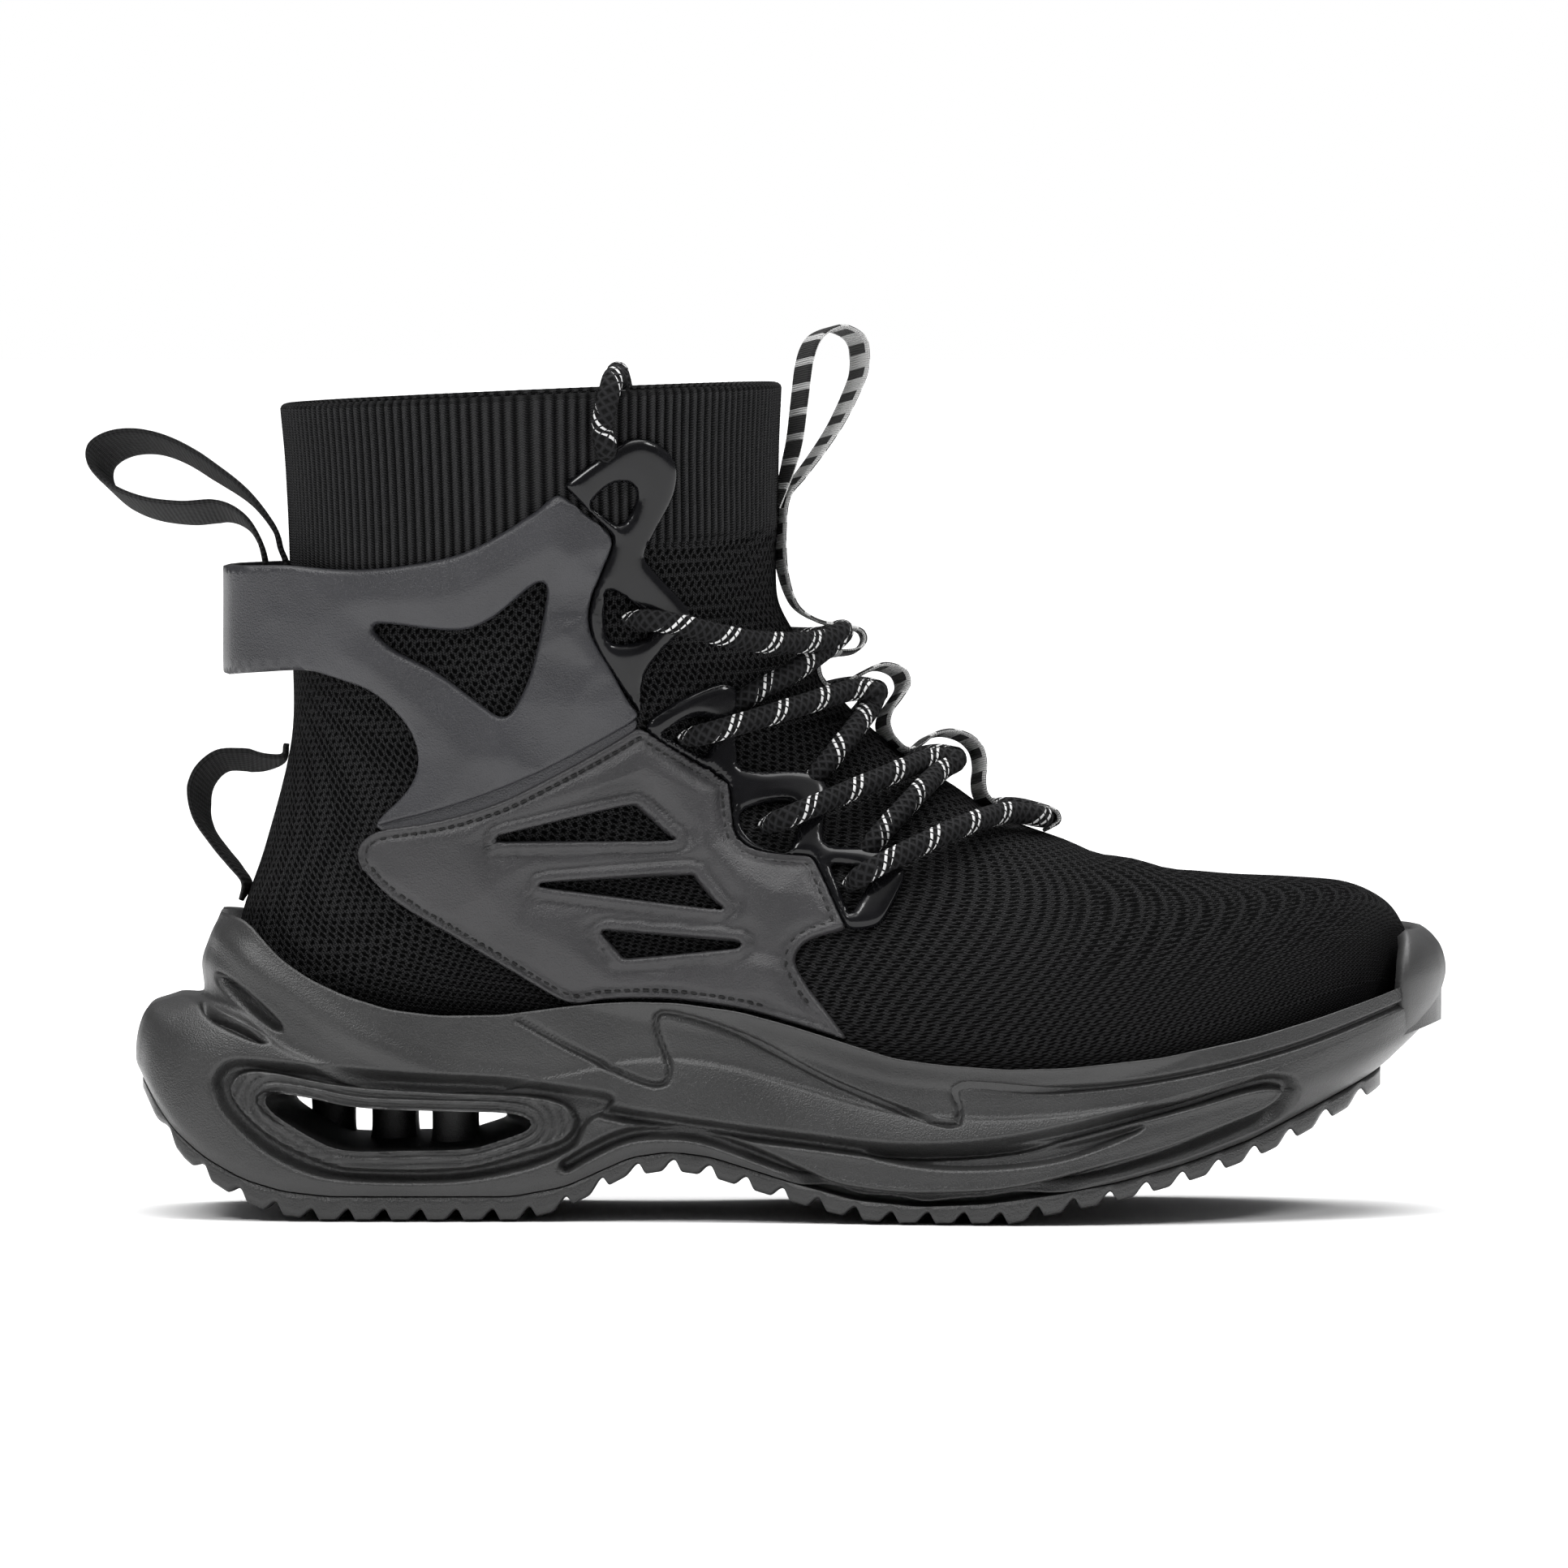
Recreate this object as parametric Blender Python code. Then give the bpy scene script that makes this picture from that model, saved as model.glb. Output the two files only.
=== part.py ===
"""Right high-top work boot: hollow knit upper, moulded overlays, cup sole, treaded outsole, lacing."""
import bmesh
import bpy
import math
import numpy as np
from mathutils import Vector
from mathutils.kdtree import KDTree

# Driving sizes in metres
LENGTH = 0.310
BALL_WIDTH = 0.104
HEEL_HEIGHT = 0.0388
INSTEP_HEIGHT = 0.0970
SHAFT_HEIGHT = 0.1940
WALL = 0.0025
OVERLAY = 0.0020
CLEARANCE = 0.0003
INSOLE = 0.0040
RIM = 0.0034
LACE_DIAMETER = 0.0052
TAPE_WIDTH = 0.0150
TAPE = 0.0010
PULL_WIDTH = 0.0160
PULL = 0.0016
GROOVE = 0.0016
WEDGE = 0.0022
PILLAR = 0.0070

# Shares of the length and height where the named heights lie
HEEL_PATCH = 0.2346
HEIGHT_SHARES = (0.0, 0.2, 0.5, 1.0)

# Mesh detail
RINGS = 22
SPOKES = 20
TUBE_SIDES = 5
SLOPE_STEP = 0.01
SIDES = {"lateral": -1.0, "medial": 1.0}

# Sections of the foot form from the collar round the heel to the toe
STATION_COLUMNS = ("top_along", "top_up", "base_along", "base_up", "half", "aside", "widest",
                   "top_power", "base_power")
STATIONS = (
    (0.492, 1.009, 0.113, 0.983, 0.409, 0.000, 0.50, 2.2, 2.2),
    (0.490, 0.930, 0.117, 0.911, 0.399, 0.000, 0.50, 2.2, 2.2),
    (0.490, 0.851, 0.120, 0.801, 0.380, 0.000, 0.50, 2.2, 2.2),
    (0.493, 0.774, 0.120, 0.692, 0.367, 0.000, 0.50, 2.1, 2.2),
    (0.500, 0.732, 0.119, 0.578, 0.360, 0.000, 0.49, 2.1, 2.2),
    (0.510, 0.695, 0.099, 0.449, 0.356, 0.000, 0.48, 2.0, 2.3),
    (0.518, 0.676, 0.081, 0.364, 0.356, 0.000, 0.47, 2.0, 2.4),
    (0.525, 0.658, 0.076, 0.290, 0.354, 0.000, 0.46, 2.0, 2.5),
    (0.535, 0.637, 0.092, 0.225, 0.352, 0.000, 0.45, 2.0, 2.6),
    (0.549, 0.613, 0.146, 0.199, 0.352, 0.000, 0.44, 2.0, 2.8),
    (0.571, 0.581, 0.244, 0.190, 0.361, 0.003, 0.42, 2.0, 3.0),
    (0.596, 0.550, 0.356, 0.166, 0.380, 0.003, 0.40, 2.0, 3.1),
    (0.624, 0.524, 0.468, 0.128, 0.418, 0.000, 0.38, 2.0, 3.2),
    (0.658, 0.488, 0.568, 0.105, 0.466, -0.005, 0.36, 2.0, 3.3),
    (0.704, 0.460, 0.661, 0.098, 0.498, -0.010, 0.35, 2.0, 3.4),
    (0.760, 0.434, 0.748, 0.108, 0.500, 0.000, 0.36, 2.1, 3.4),
    (0.823, 0.415, 0.820, 0.134, 0.471, 0.019, 0.38, 2.2, 3.3),
    (0.885, 0.409, 0.878, 0.163, 0.412, 0.038, 0.40, 2.3, 3.1),
    (0.928, 0.402, 0.917, 0.188, 0.340, 0.048, 0.43, 2.3, 2.9),
    (0.957, 0.380, 0.944, 0.210, 0.255, 0.058, 0.46, 2.3, 2.6),
    (0.971, 0.350, 0.959, 0.232, 0.165, 0.062, 0.50, 2.2, 2.4),
    (0.977, 0.318, 0.968, 0.266, 0.075, 0.064, 0.50, 2.1, 2.2),
)

# Plan of the sole: reach to each side as shares of the ball width
PLAN_COLUMNS = ("along", "lateral", "medial")
PLAN = (
    (0.000, 0.110, 0.110), (0.004, 0.170, 0.170), (0.015, 0.250, 0.250), (0.040, 0.325, 0.325),
    (0.080, 0.375, 0.375), (0.140, 0.410, 0.405), (0.220, 0.420, 0.415), (0.300, 0.415, 0.410),
    (0.340, 0.416, 0.406), (0.380, 0.420, 0.405), (0.425, 0.430, 0.408), (0.470, 0.444, 0.420),
    (0.520, 0.472, 0.445), (0.570, 0.505, 0.475), (0.620, 0.535, 0.505),
    (0.690, 0.560, 0.535), (0.750, 0.560, 0.548), (0.810, 0.530, 0.545), (0.860, 0.480, 0.525),
    (0.900, 0.420, 0.490), (0.935, 0.350, 0.445), (0.962, 0.280, 0.390), (0.982, 0.200, 0.320),
    (0.994, 0.120, 0.250), (1.000, 0.040, 0.170),
)

# Levels of the sole wall from the parting line up to its top edge
LEVEL_COLUMNS = ("rise", "back", "front", "spread")
LEVELS = (
    (0.00, 0.006, 0.953, 0.970), (0.07, 0.001, 0.964, 0.995), (0.26, 0.003, 0.984, 1.000),
    (0.45, 0.012, 0.991, 0.985), (0.59, 0.032, 0.995, 0.965), (0.65, 0.052, 0.997, 0.945),
    (0.80, 0.052, 0.999, 0.935), (1.00, 0.066, 1.000, 0.915),
)
NOSE_LEVELS = (
    (0.00, 0.006, 0.953, 0.970), (0.10, 0.001, 0.967, 0.995), (0.20, 0.003, 0.984, 1.000),
    (0.36, 0.012, 0.994, 1.000), (0.55, 0.032, 1.000, 0.990), (0.70, 0.052, 1.000, 0.980),
    (0.86, 0.052, 0.995, 0.960), (1.00, 0.066, 0.983, 0.930),
)
NOSE_TOP = 0.350

# Long curves of the sole in the side view as pairs (along, up)
WALL_TOP = (
    (0.000, 0.380), (0.060, 0.372), (0.087, 0.364), (0.099, 0.341), (0.114, 0.316), (0.136, 0.293),
    (0.162, 0.274), (0.197, 0.257), (0.234, 0.250), (0.282, 0.251), (0.330, 0.261), (0.356, 0.265),
    (0.380, 0.267), (0.415, 0.266), (0.462, 0.256), (0.498, 0.241), (0.533, 0.224), (0.557, 0.212),
    (0.580, 0.201), (0.615, 0.194), (0.665, 0.189), (0.712, 0.191), (0.783, 0.203), (0.854, 0.226),
    (0.901, 0.247), (0.948, 0.271), (0.972, 0.285), (1.000, 0.298),
)
PARTING = (
    (0.000, 0.180), (0.006, 0.170), (0.016, 0.142), (0.030, 0.110), (0.055, 0.076), (0.085, 0.050),
    (0.115, 0.036), (0.150, 0.030), (0.290, 0.030), (0.330, 0.042), (0.380, 0.078), (0.410, 0.085),
    (0.440, 0.079), (0.500, 0.050), (0.550, 0.029), (0.600, 0.022), (0.650, 0.026), (0.700, 0.037),
    (0.750, 0.052), (0.800, 0.073), (0.850, 0.100), (0.900, 0.138), (0.953, 0.178), (1.000, 0.215),
)
TREAD = (
    (0.000, 0.166), (0.008, 0.150), (0.016, 0.126), (0.027, 0.098), (0.040, 0.073), (0.059, 0.048),
    (0.080, 0.027), (0.105, 0.010), (0.136, 0.000), (0.296, 0.000), (0.327, 0.013), (0.351, 0.033),
    (0.376, 0.054), (0.409, 0.062), (0.437, 0.056), (0.468, 0.041), (0.502, 0.025), (0.530, 0.013),
    (0.558, 0.003), (0.579, 0.000), (0.668, 0.000), (0.693, 0.010), (0.721, 0.019), (0.748, 0.028),
    (0.780, 0.041), (0.807, 0.053), (0.836, 0.068), (0.863, 0.084), (0.890, 0.104), (0.918, 0.127),
    (0.945, 0.149), (1.000, 0.196),
)
TOOTH_PITCH = 0.0275
TOOTH_DEPTH = 0.0134
FIRST_TOOTH = HEEL_PATCH - 8.28 * TOOTH_PITCH
LAST_TOOTH = 0.950

# Cuts in the sole wall, side view
WINDOW = (
    (0.100, 0.152), (0.107, 0.157), (0.138, 0.150), (0.174, 0.139), (0.234, 0.135), (0.282, 0.133),
    (0.303, 0.127), (0.308, 0.118), (0.301, 0.110), (0.274, 0.096), (0.258, 0.089), (0.210, 0.087),
    (0.162, 0.087), (0.138, 0.102), (0.114, 0.125), (0.102, 0.140),
)
RING = (
    (0.072, 0.163), (0.083, 0.182), (0.107, 0.181), (0.162, 0.165), (0.234, 0.157), (0.306, 0.151),
    (0.334, 0.140), (0.339, 0.125), (0.330, 0.102), (0.293, 0.083), (0.258, 0.068), (0.210, 0.065),
    (0.162, 0.068), (0.138, 0.080), (0.109, 0.102), (0.085, 0.133),
)
MOAT = (
    (0.058, 0.171), (0.069, 0.194), (0.083, 0.198), (0.138, 0.191), (0.210, 0.181), (0.282, 0.176),
    (0.333, 0.165), (0.370, 0.156), (0.370, 0.143), (0.345, 0.118), (0.341, 0.090), (0.306, 0.066),
    (0.258, 0.050), (0.210, 0.047), (0.150, 0.052), (0.114, 0.072), (0.090, 0.098), (0.066, 0.137),
)
LENS = (
    (0.548, 0.091), (0.569, 0.094), (0.627, 0.097), (0.702, 0.106), (0.751, 0.122), (0.774, 0.126),
    (0.764, 0.112), (0.702, 0.077), (0.627, 0.067), (0.569, 0.077),
)
HEEL_SLOTS = (
    ((0.061, 0.303), (0.087, 0.277), (0.116, 0.236), (0.117, 0.226), (0.111, 0.228), (0.087, 0.257),
     (0.063, 0.287)),
    ((0.050, 0.267), (0.073, 0.246), (0.107, 0.221), (0.105, 0.213), (0.087, 0.222), (0.056, 0.246)),
)
WAVE = (
    (0.294, 0.246), (0.340, 0.206), (0.396, 0.168), (0.409, 0.186), (0.399, 0.238), (0.408, 0.253),
    (0.467, 0.224), (0.540, 0.166), (0.618, 0.123), (0.629, 0.139), (0.630, 0.168), (0.700, 0.164),
    (0.787, 0.179), (0.882, 0.213), (0.973, 0.263),
)
PILLARS = ((0.150, 0.30), (0.198, -0.12), (0.198, 0.42), (0.245, 0.18), (0.245, -0.38))

# Nose guard in the side view
GUARD = (
    (0.966, 0.300), (0.972, 0.325), (0.976, 0.352), (1.010, 0.360), (1.010, 0.150), (0.949, 0.150),
    (0.953, 0.168), (0.967, 0.205), (0.971, 0.240), (0.972, 0.285),
)
GUARD_BAY = (
    (0.972, 0.400), (0.972, 0.285), (0.971, 0.240), (0.967, 0.205), (0.953, 0.168), (0.945, 0.140),
    (1.020, 0.140), (1.020, 0.400),
)

# Overlays in the side view
CAGE = (
    (0.060, 0.794), (0.116, 0.794), (0.161, 0.789), (0.204, 0.794), (0.246, 0.807), (0.274, 0.827),
    (0.303, 0.855), (0.325, 0.885), (0.368, 0.830), (0.366, 0.818), (0.349, 0.719), (0.388, 0.613),
    (0.359, 0.584), (0.303, 0.539), (0.246, 0.505), (0.204, 0.487), (0.184, 0.477), (0.189, 0.491),
    (0.209, 0.521), (0.218, 0.552), (0.215, 0.584), (0.204, 0.611), (0.184, 0.639), (0.156, 0.656),
    (0.133, 0.668), (0.096, 0.682), (0.060, 0.688),
)
CAGE_HOLE = (
    (0.181, 0.717), (0.189, 0.725), (0.246, 0.717), (0.274, 0.731), (0.303, 0.769), (0.314, 0.778),
    (0.317, 0.764), (0.311, 0.710), (0.303, 0.660), (0.289, 0.616), (0.280, 0.612), (0.269, 0.623),
    (0.232, 0.665), (0.198, 0.693),
)
QUARTER_EDGE = (
    (0.391, 0.595), (0.417, 0.568), (0.452, 0.534), (0.456, 0.514), (0.459, 0.473), (0.470, 0.455),
    (0.487, 0.448), (0.518, 0.444), (0.527, 0.415), (0.541, 0.365), (0.544, 0.359),
)
QUARTER_REST = (
    (0.516, 0.345), (0.506, 0.331), (0.504, 0.315), (0.513, 0.288), (0.530, 0.252),
)
QUARTER_FOOT = (0.544, 0.533, 0.498, 0.462, 0.415, 0.380, 0.356, 0.332)
QUARTER_BACK = (
    (0.290, 0.302), (0.247, 0.343), (0.205, 0.383), (0.185, 0.410), (0.173, 0.432), (0.172, 0.451),
    (0.177, 0.464), (0.191, 0.475), (0.233, 0.486), (0.276, 0.506), (0.317, 0.537), (0.360, 0.574),
    (0.386, 0.599),
)
VENTS = (
    ((0.276, 0.467), (0.374, 0.503), (0.388, 0.498), (0.410, 0.466), (0.405, 0.462), (0.278, 0.461)),
    ((0.314, 0.411), (0.420, 0.421), (0.428, 0.417), (0.446, 0.384), (0.442, 0.380), (0.318, 0.405)),
    ((0.356, 0.354), (0.465, 0.340), (0.464, 0.333), (0.380, 0.320), (0.373, 0.323)),
)
STAY_TOP = (
    (0.329, 0.893), (0.343, 0.910), (0.364, 0.934), (0.379, 0.948), (0.393, 0.949), (0.407, 0.937),
    (0.415, 0.919), (0.416, 0.900), (0.412, 0.875), (0.402, 0.845), (0.393, 0.817), (0.392, 0.801),
    (0.424, 0.744), (0.425, 0.729), (0.417, 0.711), (0.404, 0.691), (0.391, 0.663), (0.389, 0.643),
    (0.388, 0.613), (0.349, 0.719), (0.366, 0.818), (0.368, 0.830),
)
STAY_TOP_HOLES = (
    ((0.348, 0.869), (0.364, 0.893), (0.378, 0.897), (0.385, 0.890), (0.386, 0.877), (0.379, 0.853),
     (0.372, 0.842)),
    ((0.361, 0.767), (0.371, 0.763), (0.388, 0.742), (0.402, 0.724), (0.394, 0.709), (0.382, 0.701),
     (0.370, 0.699), (0.363, 0.705), (0.361, 0.721)),
)
STAY_LOW = (
    (0.396, 0.609), (0.421, 0.634), (0.444, 0.649), (0.455, 0.651), (0.463, 0.640), (0.463, 0.621),
    (0.461, 0.589), (0.462, 0.551), (0.477, 0.545), (0.506, 0.546), (0.523, 0.539), (0.530, 0.526),
    (0.529, 0.503), (0.526, 0.463), (0.532, 0.456), (0.562, 0.453), (0.580, 0.444), (0.589, 0.426),
    (0.586, 0.413), (0.573, 0.373), (0.565, 0.361), (0.548, 0.357),
)
STAY_LOW_HOLES = (
    ((0.400, 0.586), (0.422, 0.607), (0.433, 0.612), (0.440, 0.606), (0.439, 0.582), (0.438, 0.530),
     (0.415, 0.540)),
    ((0.440, 0.500), (0.463, 0.502), (0.487, 0.507), (0.502, 0.503), (0.502, 0.482), (0.498, 0.440),
     (0.481, 0.430), (0.440, 0.440)),
    ((0.531, 0.436), (0.554, 0.432), (0.564, 0.422), (0.556, 0.399), (0.546, 0.373)),
)

# Lacing: where each strand leaves its hole, crosses the bar, meets its mate and ends at a hook
CROSSING_COLUMNS = ("station", "lift", "hole", "bar", "hook")
CROSSINGS = (
    (5.75, 1.15, (0.376, 0.730), (0.404, 0.727), (0.472, 0.638)),
    (9.10, 0.70, (0.419, 0.583), (0.444, 0.595), (0.528, 0.552)),
    (11.80, 0.40, (0.480, 0.480), (0.506, 0.487), (0.569, 0.466)),
    (13.70, 0.00, (0.544, 0.410), (0.567, 0.421), (0.0, 0.0)),
)
END_OUTSIDE = ((0.360, 0.945), (0.357, 0.962))
END_RIM = (0.360, 0.992)
RIM_ARC = ((1.2, -0.8), (1.0, 0.85), (0.0, 1.45), (-1.15, 0.85), (-1.5, -0.8))
RIM_DRIFT = 0.45
END_INSIDE = ((0.390, 0.940), (0.393, 0.890), (0.394, 0.840))
END_SLACK = 1.6
END_READS = 20

# Ribbons in the side view
TAPE_LOOP = (
    (0.494, 0.841), (0.498, 0.881), (0.508, 0.930), (0.512, 0.990), (0.518, 1.050), (0.530, 1.081),
    (0.544, 1.081), (0.553, 1.054), (0.549, 1.010), (0.539, 0.970), (0.523, 0.925), (0.509, 0.885),
    (0.502, 0.841), (0.502, 0.791),
)
TAPE_STATIONS = ((4.2,), (7.0, 8.0), (10.2, 10.8), (12.5, 12.9), (14.2,))
PULL_LOOP = (
    (0.1160, 0.762), (0.1155, 0.791), (0.111, 0.811), (0.106, 0.836), (0.088, 0.873), (0.063, 0.903),
    (0.035, 0.930), (0.011, 0.942), (-0.011, 0.940), (-0.026, 0.925), (-0.026, 0.901),
    (-0.012, 0.877), (0.011, 0.861), (0.039, 0.855), (0.067, 0.857), (0.084, 0.845), (0.094, 0.823),
    (0.099, 0.797), (0.100, 0.765),
)
LOW_LOOP = (
    (0.1150, 0.572), (0.1126, 0.555), (0.098, 0.550), (0.082, 0.553), (0.065, 0.551), (0.052, 0.531),
    (0.048, 0.503), (0.052, 0.474), (0.063, 0.448), (0.076, 0.422), (0.0846, 0.402), (0.0806, 0.382),
)
BAND_REACH = 0.046
BAND_START = 0.72
BAND_FULL = 0.92
CAGE_FRONT = 0.32

# Soft creases of the knit: station, turn, half length, half width, depth as a share of the wall
CREASES = (
    (3.6, 0.35, 0.9, 0.5, 0.45), (3.6, -0.35, 0.9, 0.5, 0.45),
    (14.6, 0.0, 0.30, 0.9, 0.40), (15.5, 0.2, 0.28, 0.8, 0.30),
)

MATERIALS = {
    "knit": ((0.012, 0.012, 0.013), 0.0, 0.92),
    "cage": ((0.050, 0.050, 0.058), 0.0, 0.55),
    "panel": ((0.062, 0.060, 0.064), 0.0, 0.62),
    "gloss": ((0.008, 0.008, 0.009), 0.0, 0.16),
    "foam": ((0.060, 0.060, 0.060), 0.0, 0.70),
    "rubber": ((0.020, 0.020, 0.020), 0.0, 0.75),
    "lace": ((0.016, 0.016, 0.016), 0.0, 0.85),
    "tape": ((0.600, 0.600, 0.600), 0.0, 0.80),
    "ribbon": ((0.014, 0.014, 0.014), 0.0, 0.88),
    "insole": ((0.030, 0.030, 0.032), 0.0, 0.90),
}


def fresh_scene():
    for item in list(bpy.data.objects):
        bpy.data.objects.remove(item, do_unlink=True)
    for name in ("work_boot", "cutters"):
        group = bpy.data.collections.new(name)
        bpy.context.scene.collection.children.link(group)


def distance_along(share):
    return (np.asarray(share) - HEEL_PATCH) * LENGTH


def level(share):
    """Height of a share, taken through the heel, instep and shaft heights."""
    share = np.asarray(share, dtype=float)
    heights = (0.0, HEEL_HEIGHT, INSTEP_HEIGHT, SHAFT_HEIGHT)
    steepness = (SHAFT_HEIGHT - INSTEP_HEIGHT) / (HEIGHT_SHARES[3] - HEIGHT_SHARES[2])
    over = np.maximum(share - HEIGHT_SHARES[3], 0.0) * steepness
    under = np.minimum(share, 0.0) * HEEL_HEIGHT / HEIGHT_SHARES[1]
    return np.interp(share, HEIGHT_SHARES, heights) + over + under


def place(point, aside=0.0):
    """Side-view shares to a point in the frame."""
    return Vector((float(distance_along(point[0])), float(aside), float(level(point[1]))))


def through(rows, at):
    """Smooth curve through evenly counted rows, read at fractional row numbers."""
    rows = np.asarray(rows, dtype=float)
    slopes = np.gradient(rows, axis=0)
    at = np.asarray(at, dtype=float)
    start = np.clip(np.floor(at).astype(int), 0, len(rows) - 2)
    part = (at - start)[..., None]
    ahead = start + 1
    squared = part * part
    cubed = squared * part
    return ((2 * cubed - 3 * squared + 1) * rows[start] + (cubed - 2 * squared + part) * slopes[start]
            + (3 * squared - 2 * cubed) * rows[ahead] + (cubed - squared) * slopes[ahead])


def soft_step(value, low, high):
    part = np.clip((value - low) / (high - low), 0.0, 1.0)
    return part * part * (3.0 - 2.0 * part)


def section_points(station, turn, band):
    """Points of the foot form: station runs collar to toe, turn runs from the top ridge."""
    found = dict(zip(STATION_COLUMNS, np.moveaxis(through(STATIONS, station), -1, 0)))
    cosine = np.cos(turn)
    sine = np.sin(turn)
    upper_half = cosine >= 0.0
    power = np.where(upper_half, found["top_power"], found["base_power"])
    reach = np.abs(cosine) ** (2.0 / power)
    across = np.sign(sine) * np.abs(sine) ** (2.0 / power)
    centre_along = found["base_along"] + found["widest"] * (found["top_along"] - found["base_along"])
    centre_up = found["base_up"] + found["widest"] * (found["top_up"] - found["base_up"])
    goal_along = np.where(upper_half, found["top_along"], found["base_along"])
    goal_up = np.where(upper_half, found["top_up"], found["base_up"])
    along = centre_along + reach * (goal_along - centre_along)
    up = centre_up + reach * (goal_up - centre_up)
    if band:
        along = along - BAND_REACH * soft_step(np.abs(turn) / math.pi, BAND_START, BAND_FULL)
    aside = (found["aside"] + found["half"] * across) * BALL_WIDTH
    return np.stack((distance_along(along), aside, level(up)), axis=-1)


def crease_depth(station, turn):
    depth = np.zeros(np.shape(turn))
    for middle, side, long_way, wide_way, share in CREASES:
        away = ((station - middle) / long_way) ** 2 + ((turn - side) / wide_way) ** 2
        depth = depth + share * WALL * np.exp(-away)
    return depth


def form(station, turn, out=0.0, band=False):
    """Foot form moved outward along its own normal."""
    station, turn = np.broadcast_arrays(np.asarray(station, float), np.asarray(turn, float))
    here = section_points(station, turn, band)
    down = (section_points(station + SLOPE_STEP, turn, band)
            - section_points(station - SLOPE_STEP, turn, band))
    round_way = (section_points(station, turn + SLOPE_STEP, band)
                 - section_points(station, turn - SLOPE_STEP, band))
    normal = np.cross(down, round_way)
    normal = normal / np.linalg.norm(normal, axis=-1, keepdims=True)
    move = out - crease_depth(station, turn)
    return here + normal * np.asarray(move)[..., None]


def material(name):
    if name in bpy.data.materials:
        return bpy.data.materials[name]
    colour, metal, rough = MATERIALS[name]
    made = bpy.data.materials.new(name)
    made.use_nodes = True
    shader = made.node_tree.nodes["Principled BSDF"]
    shader.inputs["Base Color"].default_value = (*colour, 1.0)
    shader.inputs["Metallic"].default_value = metal
    shader.inputs["Roughness"].default_value = rough
    return made


def add_object(name, points, faces, look=None):
    """Object from points and faces; without a look it is a hidden cutter."""
    mesh = bpy.data.meshes.new(name)
    mesh.from_pydata([tuple(map(float, point)) for point in points], [], faces)
    work = bmesh.new()
    work.from_mesh(mesh)
    bmesh.ops.recalc_face_normals(work, faces=work.faces)
    work.to_mesh(mesh)
    work.free()
    made = bpy.data.objects.new(name, mesh)
    if look is None:
        made.hide_render = True
        made.display_type = "WIRE"
        bpy.data.collections["cutters"].objects.link(made)
    else:
        mesh.materials.append(material(look))
        bpy.data.collections["work_boot"].objects.link(made)
    return made


def combine(target, tool, operation):
    change = target.modifiers.new(operation.lower(), "BOOLEAN")
    change.operation = operation
    change.object = tool
    change.solver = "EXACT"


def grid_faces(rows, columns, offset=0, closed=True, split=False):
    faces = []
    last = columns if closed else columns - 1
    for row in range(rows - 1):
        for column in range(last):
            after = (column + 1) % columns
            start = offset + row * columns
            corners = (start + column, start + after, start + columns + after, start + columns + column)
            if split:
                faces.append(corners[:3])
                faces.append((corners[0], corners[2], corners[3]))
            else:
                faces.append(corners)
    return faces


def closed_body(name, rings, look=None, split=False):
    """Rings of points joined and capped at both ends."""
    count = len(rings[0])
    points = [point for ring in rings for point in ring]
    faces = grid_faces(len(rings), count, 0, True, split)
    faces.append(tuple(range(count)))
    faces.append(tuple(range(len(points) - count, len(points))))
    return add_object(name, points, faces, look)


def prism(name, outline, near, far, look=None):
    """Side-view outline carried straight across between two side distances."""
    rings = [[place(point, aside) for point in outline] for aside in (near, far)]
    return closed_body(name, rings, look)


def shrink(outline, amount):
    """Move each corner of a side-view outline inward by the amount."""
    spots = np.array([(distance_along(a), level(b)) for a, b in outline], dtype=float)
    before = spots - np.roll(spots, 1, axis=0)
    after = np.roll(spots, -1, axis=0) - spots
    area = 0.5 * np.sum(spots[:, 0] * np.roll(spots[:, 1], -1) - np.roll(spots[:, 0], -1) * spots[:, 1])
    turn = 1.0 if area > 0.0 else -1.0
    normals = []
    for step in (before, after):
        size = np.linalg.norm(step, axis=1, keepdims=True)
        normals.append(np.stack((-step[:, 1], step[:, 0]), axis=1) / size * turn)
    joint = normals[0] + normals[1]
    scale = np.maximum(np.sum(joint * joint, axis=1, keepdims=True), 1.0)
    return spots + joint * 2.0 / scale * amount


def flat_prism(name, spots, near, far, look=None):
    rings = [[Vector((a, aside, b)) for a, b in spots] for aside in (near, far)]
    return closed_body(name, rings, look)


def spokes():
    return np.linspace(-math.pi, math.pi, SPOKES, endpoint=False)


def lines_over(values, low, high):
    """The shortest run of grid lines that covers a range."""
    start = max(int(np.searchsorted(values, low, "right")) - 1, 0)
    stop = min(int(np.searchsorted(values, high, "left")), len(values) - 1)
    return values[start:stop + 1]


def form_body(name, out, first, last, rise, look=None):
    """Closed body of the whole foot form at one offset."""
    stations = np.linspace(first, last, RINGS)
    grid = form(stations[:, None], spokes()[None, :], out)
    rings = [list(ring) for ring in grid]
    if rise > 0.0:
        rings.insert(0, [point + np.array((0.0, 0.0, rise)) for point in rings[0]])
    return closed_body(name, rings, look, True)


def finder():
    """Lookup from a side-view point to station and turn on the lateral half."""
    stations = np.arange(-0.4, len(STATIONS) - 0.9, 0.06)
    turns = np.linspace(-math.pi, 0.0, 121)
    grid = form(stations[:, None], turns[None, :], OVERLAY)
    tree = KDTree(grid.shape[0] * grid.shape[1])
    marks = []
    for row, station in enumerate(stations):
        for column, turn in enumerate(turns):
            spot = grid[row, column]
            tree.insert(Vector((spot[0], 0.0, spot[2])), len(marks))
            marks.append((station, turn))
    tree.balance()
    return tree, marks


def spot_on_form(lookup, point):
    tree, marks = lookup
    found = tree.find(place(point))
    return marks[found[1]]


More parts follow.
